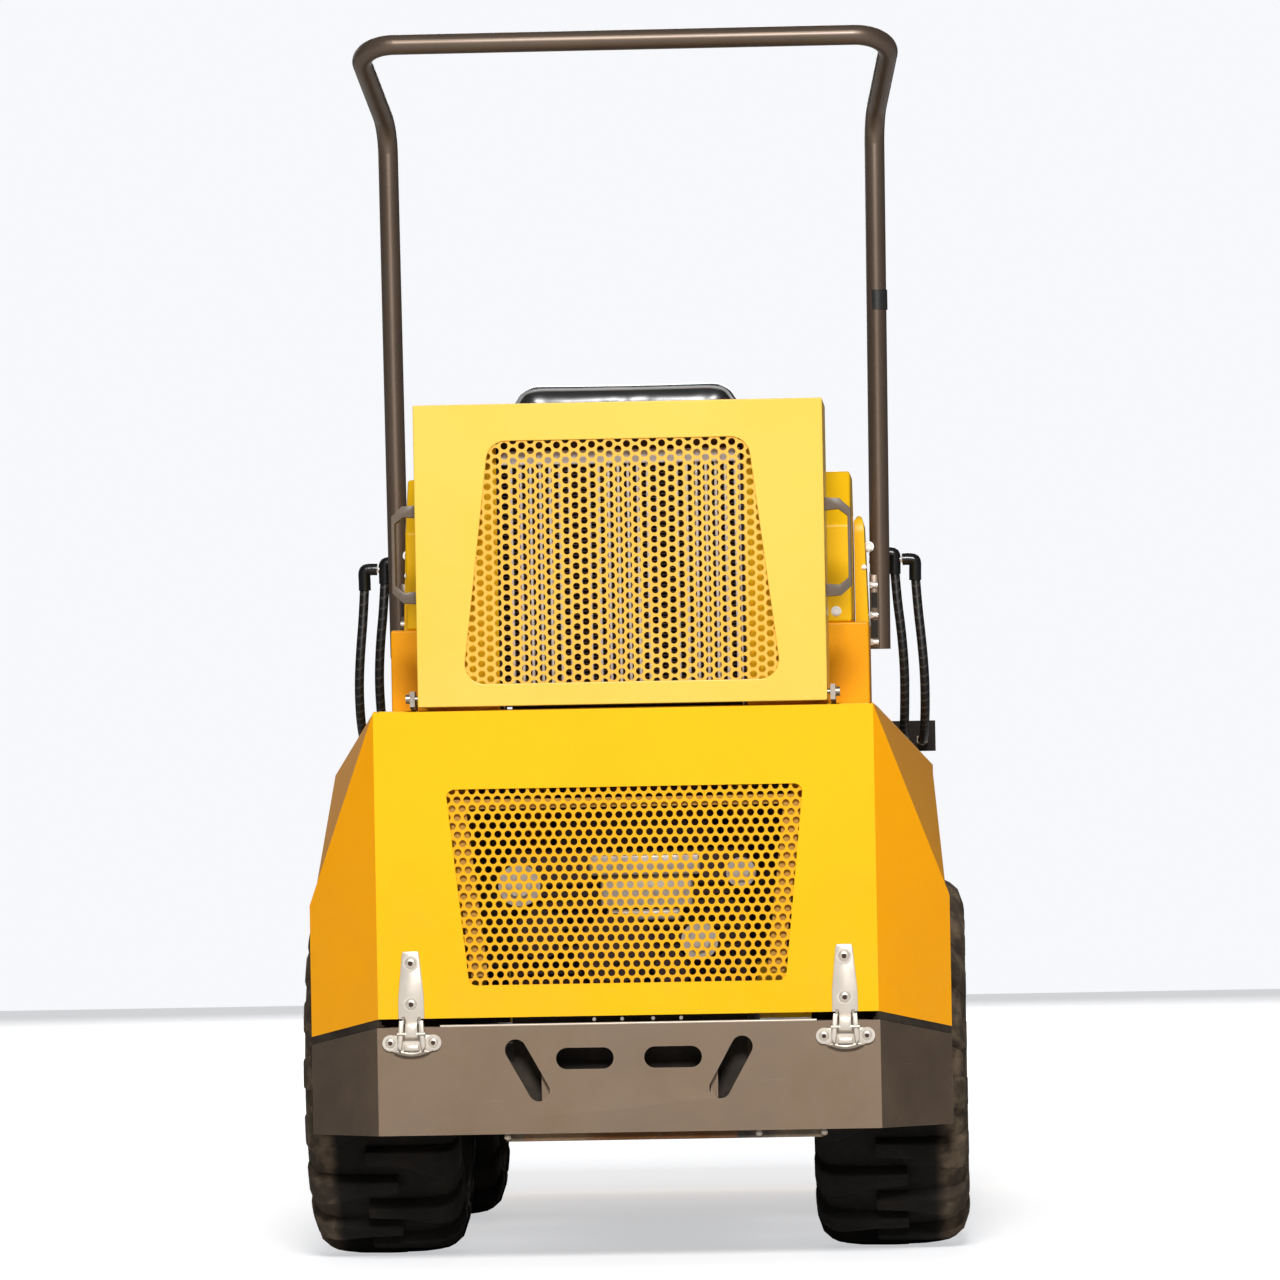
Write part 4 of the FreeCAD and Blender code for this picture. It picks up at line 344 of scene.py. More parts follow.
paintKeys = ("color", "shade", "roughness", "bare", "wear", "scuff", "scratch", "dust")
paintRows = {
    "loaderYellow": ((0.95, 0.535, 0.003), (0.93, 0.5, 0.002), 0.36, (0.78, 0.4, 0.02), 0.2, 0.06,
        (0.85, 0.52, 0.04), 0.12, {"dustTop": 0.2}),
    # the cover's yellow is paler and cooler than the door's: painted reflection of the sky
    "coverYellow": ((0.93, 0.6, 0.095), (0.92, 0.57, 0.07), 0.34, (0.8, 0.5, 0.05), 0.2, 0.06,
        (0.85, 0.58, 0.12), 0.1, {"coat": 0.15, "specular": 0.25}),
    # the door's yellow made darker for its recessed perforated sheet: painted shade
    "doorSheet": ((0.9, 0.44, 0.006), (0.86, 0.4, 0.005), 0.42, (0.6, 0.3, 0.03), 0.1, 0.05,
        (0.8, 0.45, 0.05), 0.2),
    # the cover's yellow made darker and more orange for its recessed perforated sheet: painted
    # shade
    "coverSheet": ((0.92, 0.5, 0.08), (0.9, 0.46, 0.06), 0.4, (0.7, 0.4, 0.05), 0.1, 0.05,
        (0.85, 0.52, 0.1), 0.15),
    # a darker copy of the bumper's bronze for its slanted wings: painted shade
    "wingShadePaint": ((0.125, 0.09, 0.066), (0.11, 0.078, 0.056), 0.5, (0.3, 0.25, 0.2), 0.4, 0.3,
        (0.25, 0.2, 0.16), 0.3, {"metallic": 0.6}),
    "frontYellow": ((0.93, 0.54, 0.008), (0.84, 0.45, 0.006), 0.38, (0.22, 0.15, 0.1), 0.8, 0.55,
        (0.4, 0.28, 0.16), 0.75, {"dustHeight": 1.1}),
    "bronzePaint": ((0.24, 0.175, 0.125), (0.22, 0.158, 0.112), 0.5, (0.36, 0.31, 0.26), 0.55, 0.35,
        (0.33, 0.28, 0.23), 0.55, {"metallic": 0.8, "coat": 0.12}),
    "barPaint": ((0.145, 0.105, 0.078), (0.12, 0.085, 0.062), 0.4, (0.2, 0.16, 0.12), 0.3, 0.15,
        (0.2, 0.16, 0.12), 0.25, {"metallic": 0.6, "coat": 0.2, "dustHeight": 1.2}),
    "rimPaint": ((0.78, 0.44, 0.012), (0.62, 0.33, 0.012), 0.45, (0.3, 0.22, 0.15), 0.7, 0.4,
        (0.35, 0.25, 0.15), 0.9, {"dustHeight": 0.8}),
    "chassisPaint": ((0.045, 0.042, 0.04), (0.03, 0.028, 0.027), 0.5, (0.16, 0.12, 0.09), 0.6, 0.3,
        (0.12, 0.1, 0.08), 0.95, {"dustHeight": 0.6, "coat": 0.1}),
    # the tanks' and fenders' orange paint; on the door's slanted faces the same finish is painted
    # shade of the door's yellow
    "tankYellow": ((0.98, 0.4, 0.001), (0.95, 0.38, 0.001), 0.38, (0.7, 0.3, 0.02), 0.2, 0.06,
        (0.85, 0.42, 0.03), 0.12, {"dustTop": 0.15, "coat": 0.1}),
    # pale paint for the rod on the bumper's top bend: painted highlight
    "lipPaint": ((0.62, 0.52, 0.42), (0.55, 0.46, 0.37), 0.35, (0.6, 0.52, 0.44), 0.2, 0.1,
        (0.5, 0.44, 0.36), 0.1, {"metallic": 0.3}),
    "ribPaint": ((0.52, 0.27, 0.04), (0.42, 0.21, 0.03), 0.5, (0.3, 0.2, 0.1), 0.2, 0.1,
        (0.4, 0.26, 0.1), 0.2),
    "handlePaint": ((0.165, 0.128, 0.098), (0.14, 0.108, 0.082), 0.42, (0.45, 0.4, 0.34), 0.5, 0.3,
        (0.42, 0.37, 0.31), 0.25, {"coat": 0.1}),
    "bellyPaint": ((0.14, 0.048, 0.004), (0.1, 0.034, 0.004), 0.5, (0.2, 0.13, 0.08), 0.6, 0.5,
        (0.25, 0.17, 0.1), 0.7, {"coat": 0.1}),
}
metalKeys = ("color", "roughness", "stain", "stainColor", "dust")
metalRows = {
    "stainless": ((0.74, 0.67, 0.58), 0.34, 0.12, (0.55, 0.47, 0.38), 0.06, {"metallic": 0.55}),
    "brightBolt": ((0.92, 0.9, 0.86), 0.3, 0.15, (0.55, 0.48, 0.4), 0.05, {"metallic": 0.45}),
    "zincBolt": ((0.4, 0.35, 0.29), 0.34, 0.5, (0.34, 0.28, 0.22), 0.2),
    "rodChrome": ((0.83, 0.83, 0.84), 0.1, 0.1, (0.6, 0.58, 0.55), 0.05),
    "coolerMetal": ((0.92, 0.86, 0.76), 0.4, 0.3, (0.6, 0.48, 0.36), 0.05, {"metallic": 0.3}),
    "castIron": ((0.06, 0.03, 0.02), 0.55, 0.5, (0.04, 0.016, 0.01), 0.25, {"metallic": 0.5}),
    # dark brown for the cooler's fins and the block behind them: painted shade deep in the core
    "finMetal": ((0.17, 0.1, 0.045), 0.55, 0.5, (0.05, 0.025, 0.01), 0.1, {"metallic": 0.4}),
    "castAlloy": ((0.66, 0.58, 0.48), 0.4, 0.75, (0.16, 0.1, 0.06), 0.15,
        {"stainScale": 34.0, "metallic": 0.5}),
    "wornEdge": ((0.42, 0.4, 0.38), 0.38, 0.6, (0.26, 0.17, 0.11), 0.5),
}
rubberKeys = ("color", "shade", "roughness", "dust", "dustColor")
rubberRows = {
    "tyreRubber": ((0.008, 0.0075, 0.007), (0.016, 0.014, 0.012), 0.74, 1.0, (0.15, 0.108, 0.072),
        {"specular": 0.12, "patchScale": 12.0, "dustHigh": 1.1, "sideFrom": 0.486}),
    "hoseRubber": ((0.012, 0.012, 0.012), (0.022, 0.021, 0.02), 0.42, 0.15, (0.1, 0.08, 0.06)),
    "blackPlastic": ((0.016, 0.016, 0.016), (0.024, 0.023, 0.022), 0.45, 0.2, (0.14, 0.11, 0.08)),
    "seatVinyl": ((0.01, 0.01, 0.011), (0.018, 0.018, 0.018), 0.3, 0.12, (0.1, 0.085, 0.07),
        {"coat": 0.25, "specular": 0.5, "grain": 420.0, "grainDepth": 0.0003}),
    "hoseWrap": ((0.0045, 0.0042, 0.004), (0.009, 0.008, 0.0075), 0.42, 0.05, (0.05, 0.04, 0.03),
        {"specular": 0.3, "wrapPitch": 0.018}),
    "elbowRubber": ((0.005, 0.005, 0.005), (0.01, 0.009, 0.009), 0.25, 0.05, (0.05, 0.04, 0.03),
        {"specular": 0.5}),
    "pipingVinyl": ((0.3, 0.31, 0.33), (0.24, 0.25, 0.27), 0.4, 0.2, (0.3, 0.26, 0.2)),
    "sealRubber": ((0.018, 0.013, 0.01), (0.034, 0.026, 0.02), 0.6, 0.5, (0.12, 0.09, 0.06),
        {"specular": 0.2}),
}
finishes = {}
for make, keys, rows in ((paintFinish, paintKeys, paintRows), (metalFinish, metalKeys, metalRows),
                         (rubberFinish, rubberKeys, rubberRows)):
    finishes.update({name: make(name, spec) for name, spec in specsOf(keys, rows).items()})
print("finishes made")


# helpers that build and place pieces
sideways, lengthways, upwards = (1, 0, 0), (0, 1, 0), (0, 0, 1) # axes of the rods


def meshOf(name, bm):
    mesh = bpy.data.meshes.new(name)
    bm.to_mesh(mesh)
    bm.free()
    return mesh


def newMesh(name, bm, material, body=None, smooth=None, node=None):
    # bm is used up; body is the CAD body it moves with, node the CAD piece it stands for
    bmesh.ops.recalc_face_normals(bm, faces=bm.faces)
    mesh = meshOf(name, bm)
    for one in (material if isinstance(material, tuple) else [material]):
        mesh.materials.append(finishes[one])
    if smooth is not None:
        mesh.shade_smooth()
        mesh.set_sharp_from_angle(angle=math.radians(smooth))
    piece = linked(name, mesh)
    if body:
        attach(piece, body)
    if node:
        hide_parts(node)
    return piece


def roundRims(bm, edges, width, segments=2):
    bmesh.ops.bevel(bm, geom=edges, offset=width, offset_type="OFFSET", affect="EDGES",
                    segments=segments, profile=0.5, material=-1, clamp_overlap=True)


def drawOut(bm, faces, step):
    # extrudes the faces by the step and returns the new corners
    grown = bmesh.ops.extrude_face_region(bm, geom=faces, use_keep_orig=True)["geom"]
    verts = [one for one in grown if isinstance(one, bmesh.types.BMVert)]
    bmesh.ops.translate(bm, verts=verts, vec=step)
    return verts


def addBox(bm, low, high):
    size = [high[i] - low[i] for i in range(3)]
    middle = [(high[i] + low[i]) / 2 for i in range(3)]
    matrix = Matrix.Translation(middle) @ Matrix.Diagonal((*size, 1))
    bmesh.ops.create_cube(bm, size=1, matrix=matrix)


def addBoxPair(bm, low, high):
    # a box on the right and its mirror image
    for side in (-1, 1):
        x0, x1 = sorted((side * low[0], side * high[0]))
        addBox(bm, (x0, *low[1:]), (x1, *high[1:]))


def addRod(bm, middle, axis, radius, length, sides=24, tip=None):
    turn = Vector((0, 0, 1)).rotation_difference(Vector(axis)).to_matrix().to_4x4()
    bmesh.ops.create_cone(bm, cap_ends=True, segments=sides, radius1=radius,
                          radius2=radius if tip is None else tip, depth=length,
                          matrix=Matrix.Translation(middle) @ turn)


def addBolt(bm, place, across, high):
    # hexagon head on a washer, facing back
    face, thin = Vector((0, -1, 0)), high * 0.25
    for lift, radius, deep, sides, tip in (
            (thin / 2, across * 0.675, thin, 20, None),
            (thin + high / 2, across * 0.55, high, 6, None),
            (thin + high * 1.06, across * 0.43, high * 0.2, 20, across * 0.35)):
        addRod(bm, Vector(place) + face * lift, face, radius, deep, sides, tip)


def softened(name, node, width, material, body, edit):
    # the CAD node's own mesh with its sharp rims rounded; it stands for the node
    bm = bmesh.new()
    bm.from_mesh(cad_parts[node].data)
    bmesh.ops.remove_doubles(bm, verts=bm.verts, dist=0.00002)
    bmesh.ops.dissolve_limit(bm, angle_limit=math.radians(1.0), verts=bm.verts, edges=bm.edges)
    if edit:
        edit(bm)
    sharp = [edge for edge in bm.edges if len(edge.link_faces) == 2
             and edge.calc_face_angle(0) > math.radians(28)
             and edge.calc_length() > width * 1.2]
    roundRims(bm, sharp, width)
    piece = newMesh(name, bm, material, body, 30, node)
    weighted = piece.modifiers.new("weighted", "WEIGHTED_NORMAL")
    weighted.keep_sharp, weighted.weight = True, 80


def splitFinish(test):
    # gives the second finish to the faces that the test picks
    def edit(bm):
        bm.normal_update()
        for face in bm.faces:
            if test(face.calc_center_median(), face.normal):
                face.material_index = 1
    return edit


wheelNames = [f"{a}_{b}" for a in ("rear", "front") for b in ("left", "right")]
nodeFinishes = { # for the nodes shown as they are; the others are replaced below
    "frontYellow": ["lift_barrel", "tilt_barrel", "steer_barrel"],
    "barPaint": ["rops"],
    "rimPaint": ["rim_" + name for name in wheelNames],
    "chassisPaint": ["rear_axle", "front_axle", "seat_base"],
    "castIron": ["pivot_pin", "tower_pins", "boom_pins"],
    "zincBolt": ["cover_brackets"],
    "blackPlastic": ["steering_wheel", "control_levers"],
    "rodChrome": ["lift_rod", "tilt_rod", "steer_rod"],
}
for material, nodes in nodeFinishes.items():
    for node in nodes:
        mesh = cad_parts[node].data
        mesh.materials.clear()
        mesh.materials.append(finishes[material])
print("node finishes given")


# tyres: a spun carcass with bars that run over the shoulder
tyreSpec = {
    "half": [(0.0, 0.2785), (0.050, 0.2775), (0.082, 0.2740), (0.102, 0.2660), (0.115, 0.2520),
             (0.1220, 0.2340), (0.1245, 0.2140), (0.1225, 0.1950), (0.1165, 0.1770),
             (0.1070, 0.1650), (0.1010, 0.1580), (0.0960, 0.1525)],
    "lugs": 16, "lugSteps": 16, "lugStart": -0.026, "lugEnd": 0.152, "height": 0.0205,
    "sweep": -5.2, "turn": -3.52, "middleHalf": 0.0145, "shoulderHalf": 0.0285,
    "sideHalf": 0.0250,
}
axleY = {"rear": -0.77565, "front": 0.32435}
wheelX, wheelZ = 0.417, 0.300


def lerp(table, at):
    # value of a table of (place, value) pairs, straight between them
    for (a, first), (b, second) in zip(table, table[1:]):
        if at <= b:
            share = (at - a) / (b - a)
            return first + (second - first) * max(share, 0.0)
    return table[-1][1]


def carcassAt(along):
    # place and outward direction in (x, r) at an arc length from the crown
    half, reach = tyreSpec["half"], abs(along)
    for (x0, r0), (x1, r1) in zip(half, half[1:]):
        long = math.hypot(x1 - x0, r1 - r0)
        if reach <= long or (x1, r1) == half[-1]:
            share = min(reach / long, 1.0)
            x, r = x0 + (x1 - x0) * share, r0 + (r1 - r0) * share
            break
        reach -= long
    return math.copysign(x, along), r


def lugBlock(bm, side, turn):
    # bar that starts past the crown, runs level and then bends over the shoulder
    spec = tyreSpec
    made = bmesh.ops.create_grid(bm, x_segments=spec["lugSteps"], y_segments=2, size=0.5)
    faces = list({face for vert in made["verts"] for face in vert.link_faces})
    top = set(drawOut(bm, faces, (0, 0, 0)))
    halves = [(0.0, spec["middleHalf"]), (0.34, spec["middleHalf"] + 0.002),
              (0.66, spec["shoulderHalf"]), (0.80, spec["shoulderHalf"]), (1.0, spec["sideHalf"])]
    heights = [(0.0, spec["height"]), (0.62, spec["height"]), (0.72, spec["height"] * 0.93),
               (0.80, 0.0120), (0.92, 0.0065), (1.0, 0.0030)]
    sweeps = [(0.0, 0.0), (0.36, 0.10), (0.60, 0.55), (0.80, 1.0), (1.0, 1.0)]
    for vert in list(made["verts"]) + list(top):
        share, across = vert.co.x + 0.5, vert.co.y * 2
        along = spec["lugStart"] + (spec["lugEnd"] - spec["lugStart"]) * share
        x, r = carcassAt(along)
        xAhead, rAhead = carcassAt(along + 0.004)
        xBack, rBack = carcassAt(along - 0.004)
        tangent = Vector((xAhead - xBack, rAhead - rBack)).normalized()
        normal = Vector((-tangent.y, tangent.x))
        high = lerp(heights, share) if vert in top else -0.004
        half = lerp(halves, share) * (0.90 if vert in top else 1.06)
        x, r = x + normal.x * high, r + normal.y * high
        sweep = math.radians(spec["sweep"]) * lerp(sweeps, share)
        angle = turn + sweep + across * half / r
        vert.co = (side * x, r * math.sin(angle), r * math.cos(angle))


def fullSpin(bm, geom):
    bmesh.ops.spin(bm, geom=geom, axis=(1, 0, 0), cent=(0, 0, 0), angle=math.tau, steps=96,
                   use_merge=True)


def makeTyre(name):
    bm = bmesh.new()
    half = tyreSpec["half"]
    ring = [bm.verts.new((x, 0, r)) for x, r in half]
    ring += [bm.verts.new((-x, 0, r)) for x, r in reversed(half[1:])]
    edges = [bm.edges.new(pair) for pair in zip(ring, ring[1:] + ring[:1])]
    fullSpin(bm, ring + edges)
    for side in (1, -1): # moulded rings on the sidewalls
        for radius in (0.214, 0.190):
            line = [bm.verts.new((side * x, 0, radius + out))
                    for x, out in ((0.1232, -0.003), (0.1264, 0.0), (0.1232, 0.003))]
            fullSpin(bm, line + [bm.edges.new(line[:2]), bm.edges.new(line[1:])])
    pitch = math.tau / tyreSpec["lugs"]
    for side in (1, -1):
        block = bmesh.new()
        lugBlock(block, side, math.radians(tyreSpec["turn"]) + (pitch / 2 if side < 0 else 0.0))
        bmesh.ops.recalc_face_normals(block, faces=block.faces)
        rims = [edge for edge in block.edges if len(edge.link_faces) == 2
                and edge.calc_face_angle(0) > 0.7]
        roundRims(block, rims, 0.003)
        bmesh.ops.spin(block, geom=list(block.verts) + list(block.edges) + list(block.faces),
                       axis=(1, 0, 0), cent=(0, 0, 0), angle=math.tau - pitch,
                       steps=tyreSpec["lugs"] - 1, use_duplicate=True)
        shape = meshOf("lugBars", block)
        bm.from_mesh(shape)
        bpy.data.meshes.remove(shape)
    axle, side = name.split("_")
    place = (wheelX if side == "right" else -wheelX, axleY[axle], wheelZ)
    bmesh.ops.translate(bm, verts=bm.verts, vec=place)
    newMesh("tread_" + name, bm, "tyreRubber", "wheel_" + name, 40, "tyre_" + name)


for wheelName in wheelNames:
    makeTyre(wheelName)
print("tyres made")


# perforated sheets behind the openings of the door and the cover
sheetSpec = {"pitch": 0.0163, "hole": 0.0058, "thick": 0.0015, "sides": 18, "overlap": 0.007}
grilleSpecs = {
    # both sheets take darker copies of their panels' yellow: painted shade of the recess
    "door_grille": {"lowHalf": 0.255, "topHalf": 0.288, "base": 0.456, "high": 0.316,
                    "upright": False, "shift": 0.0072, "material": "doorSheet", "body": "door"},
    "cooler_grille": {"lowHalf": 0.257, "topHalf": 0.209, "base": 0.941, "high": 0.391,
                      "upright": True, "shift": 0.0, "material": "coverSheet", "body": "cover"},
}
skinWall = 0.004


def holeCell(upright):
    # one hole in its hexagon, in the XZ plane
    bm = bmesh.new()
    sides = sheetSpec["sides"]
    bmesh.ops.create_circle(bm, segments=6, radius=sheetSpec["pitch"] / math.sqrt(3))
    bmesh.ops.subdivide_edges(bm, edges=list(bm.edges), cuts=sides // 6 - 1)
    bmesh.ops.create_circle(bm, segments=sides, radius=sheetSpec["hole"])
    bmesh.ops.bridge_loops(bm, edges=list(bm.edges))
    turn = Matrix.Rotation(math.pi / 6 if upright else 0.0, 4, "Z")
    lay = Matrix.Rotation(math.pi / 2, 4, "X")
    bmesh.ops.transform(bm, matrix=lay @ turn, verts=bm.verts)
    return meshOf("holeCell", bm)


def makeGrille(node, spec):
    cell = holeCell(spec["upright"])
    bm = bmesh.new()
    pitch, margin, base, high = sheetSpec["pitch"], sheetSpec["overlap"], spec["base"], spec["high"]
    step = pitch * math.sqrt(3) / 2
    long, wide = high, 2 * max(spec["lowHalf"], spec["topHalf"])
    if not spec["upright"]:
        long, wide = wide, long
    lines, spots = int(wide / step / 2) + 2, int(long / pitch / 2) + 2
    for line in range(-lines, lines + 1):
        for spot in range(-spots, spots + 1):
            x, up = (spot + (line % 2) / 2) * pitch + spec["shift"], line * step
            if spec["upright"]:
                x, up = up, x
            z = up + high / 2
            half = spec["lowHalf"] + (spec["topHalf"] - spec["lowHalf"]) * z / high
            if abs(x) > half + margin or not -margin < z < high + margin:
                continue
            first = len(bm.verts)
            bm.from_mesh(cell)
            bm.verts.ensure_lookup_table()
            bmesh.ops.translate(bm, verts=bm.verts[first:], vec=(x, 0, base + z))
    bmesh.ops.remove_doubles(bm, verts=bm.verts, dist=0.00005)
    drawOut(bm, list(bm.faces), (0, sheetSpec["thick"], 0))
    bmesh.ops.translate(bm, verts=bm.verts, vec=(0, rearY + skinWall, 0))
    bpy.data.meshes.remove(cell)
    newMesh(node + "_sheet", bm, spec["material"], spec["body"], 50, node)


for grilleNode, grilleSpec in grilleSpecs.items():
    makeGrille(grilleNode, grilleSpec)
print("grilles made")


# cooler: finned core between two tanks
coolerSpec = {"pitch": 0.0158, "tubeHalf": 0.0024, "tubeShift": 0.0048, "wall": 0.022,
              "finRows": 64, "finHalf": 0.0004}


def makeCooler():
    low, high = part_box("oil_cooler")
    half, front, base, top = high.x, low.y, low.z + 0.015, high.z
    pitch, tubeHalf, wall = coolerSpec["pitch"], coolerSpec["tubeHalf"], coolerSpec["wall"]
    bm = bmesh.new()
    count = int(2 * (half - 0.006) / pitch)
    for index in range(count + 1): # flat tubes
        x = (index - count / 2) * pitch + coolerSpec["tubeShift"]
        addBox(bm, (x - tubeHalf, front + 0.010, base + 0.02),
               (x + tubeHalf, front + 0.030, top - wall))
    for z0, z1 in ((top - 0.040, top - 0.018), (base, base + wall)):
        addBox(bm, (-half, front + 0.002, z0), (half, front + 0.064, z1))
    addBoxPair(bm, (half - 0.003, front + 0.004, low.z), (half, front + 0.060, top - wall))
    roundRims(bm, [edge for edge in bm.edges if edge.calc_length() > 0.35], 0.003)
    newMesh("cooler_core", bm, "coolerMetal", "rear", 40, "oil_cooler")
    fins = bmesh.new() # folded fins between the tubes, as thin slats before a dark block; the block and the slats' dark brown are painted shade deep in the core
    inner, rows, finHalf = half - 0.003, coolerSpec["finRows"], coolerSpec["finHalf"]
    addBox(fins, (-inner, front + 0.034, low.z + 0.004), (inner, high.y, top))
    for row in range(rows):
        z = base + 0.034 + (top - base - 0.062) * row / (rows - 1)
        addBox(fins, (-inner, front + 0.014, z - finHalf), (inner, front + 0.034, z + finHalf))
    newMesh("cooler_fins_shade", fins, "finMetal", "rear")
    seals = bmesh.new() # rubber strips between the core and the baffles
    addBoxPair(seals, (half - 0.004, front + 0.006, low.z), (half + 0.012, front + 0.030, top))
    newMesh("cooler_seals", seals, "sealRubber", "rear")


# engine: block, head cover, filters, pulleys and belt discs behind the door's grille
engineSpec = {
    "ribs": 9, "ribPitch": 0.018, "rib": 0.006,
    # corners of the alloy covers: across, deep from the engine's face, and up
    "covers": [((-0.063, -0.012, 0.628), (0.118, 0.08, 0.662)),
               ((-0.045, 0.004, 0.575), (0.105, 0.08, 0.627)),
               ((-0.035, -0.006, 0.555), (0.085, 0.06, 0.572))],
    # x, z and radius
    "filters": [(-0.175, 0.615, 0.034), (0.184, 0.630, 0.024), (0.115, 0.520, 0.030)],
    "pulleys": [(-0.02, 0.505, 0.062), (-0.145, 0.535, 0.040), (0.07, 0.475, 0.030)],
}


def makeEngine():
    low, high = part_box("engine")
    front, spec = low.y, engineSpec
    block, bright, drive = bmesh.new(), bmesh.new(), bmesh.new()
    addBox(block, (low.x + 0.01, front + 0.03, low.z), (high.x - 0.01, high.y, high.z - 0.14))
    addBox(block, (-0.12, front + 0.05, high.z - 0.14), (0.14, high.y - 0.03, high.z - 0.06))
    addBox(block, (-0.10, front + 0.07, high.z - 0.06), (0.12, high.y - 0.06, high.z - 0.002))
    roundRims(block, [edge for edge in block.edges if edge.calc_length() > 0.05], 0.008, 3)
    for index in range(spec["ribs"]): # cooling ribs on the block's end
        z = low.z + 0.03 + index * spec["ribPitch"]
        addBox(block, (low.x + 0.03, front + 0.012, z),
               (high.x - 0.03, front + 0.04, z + spec["rib"]))
    newMesh("engine_block", block, "castIron", "rear", 35, "engine")
    for (x0, y0, z0), (x1, y1, z1) in spec["covers"]:
        addBox(bright, (x0, front + y0, z0), (x1, front + y1, z1))
    roundRims(bright, list(bright.edges), 0.005, 3)
    for x, z, radius in spec["filters"]:
        addRod(bright, (x, front - 0.005, z), lengthways, radius, 0.05, 40)
        addRod(bright, (x, front - 0.031, z), lengthways, radius * 0.55, 0.014, 30)
    newMesh("engine_covers", bright, "castAlloy", "rear", 35)
    for x, z, radius in spec["pulleys"]:
        addRod(drive, (x, front + 0.004, z), lengthways, radius, 0.022, 48)
        addRod(drive, (x, front - 0.010, z), lengthways, radius * 0.82, 0.006, 48)
        addRod(drive, (x, front - 0.014, z), lengthways, radius * 0.3, 0.014, 32)
    newMesh("engine_pulleys", drive, "castIron", "rear", 35)


def tubeThrough(name, points, radius, material, body, sides=4):
    # hose, elbow or piping on one smooth curve
    curve = bpy.data.curves.new(name, "CURVE")
    curve.dimensions = "3D"
    curve.bevel_depth, curve.bevel_resolution, curve.use_fill_caps = radius, sides, True
    line = curve.splines.new("NURBS")
    line.points.add(len(points) - 1)
    for point, place in zip(line.points, points):
        point.co = (*place, 1)
    line.order_u, line.use_endpoint_u, line.resolution_u = 3, True, 10
    curve.materials.append(finishes[material])
    piece = linked(name, curve)
    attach(piece, body)
    return piece


# strap hinges: tapered strap, curled tongue and a lobed plate with two ears
def roundedPlate(bm, corners, y0, y1, rim=0.0012):
    # closed outline in the XZ plane drawn out along Y, with softened front rims
    face = bm.faces.new([bm.verts.new((x, y0, z)) for x, z in corners])
    drawOut(bm, [face], (0, y1 - y0, 0))
    roundRims(bm, list(face.edges), rim)


def arcPoints(x, z, radius, start, end, steps):
    turns = [math.radians(start + (end - start) * step / steps) for step in range(steps + 1)]
    return [(x + radius * math.cos(turn), z + radius * math.sin(turn)) for turn in turns]


def symmetric(x, half, lead=1):
    # closed outline about x from its right half; it begins with the first points of the left
    left = [(x - out, at) for out, at in reversed(half)]
    return left[-lead:] + [(x + out, at) for out, at in half] + left[:-lead]


def addScrew(bm, socketShades, x, y, z, radius):
    # pan head with a six-sided socket, facing back; the socket is a dark disc on the head, painted
    # shade of its recess
    ring = bmesh.ops.create_uvsphere(bm, u_segments=28, v_segments=14, radius=radius)["verts"]
    flat = Matrix.Translation((x, y, z)) @ Matrix.Diagonal((1, 0.42, 1, 1)) @ Matrix.Rotation(
        math.pi / 2, 4, "X")
    bmesh.ops.transform(bm, matrix=flat, verts=ring)
    addRod(bm, (x, y - 0.0004, z), lengthways, radius * 1.28, 0.0014, 32)
    addRod(socketShades, (x, y - radius * 0.42 - 0.0002, z), lengthways, radius * 0.45, 0.0012, 6)


hingeSpec = { # right halves of the outlines, from the hinge's middle and the ground
    "x": 0.349, "pinZ": 0.379, "pin": 0.0062, "earX": 0.0345, "earZ": 0.3655, "ear": 0.0130,
    "strapScrews": (0.4935, 0.4275), "strapScrew": 0.0098, "earScrew": 0.0088,
    "strap": [(0.010, 0.389), (0.010, 0.404), (0.021, 0.404), (0.0205, 0.440), (0.014, 0.508),
              (0.012, 0.5125)],
    "tongue": [(0.010, 0.374), (0.010, 0.396)],
    "lobe": [(0.0200, 0.3470), (0.0345, 0.3530), (0.0345, 0.3780)],
    "hood": [(0.0125, 0.3530), (0.0110, 0.3620)],
    "cheek": [(0.0118, 0.4000), (0.0190, 0.4020), (0.0215, 0.3800), (0.0225, 0.3600),
              (0.0175, 0.3520), (0.0150, 0.3620), (0.0128, 0.3800)],
}


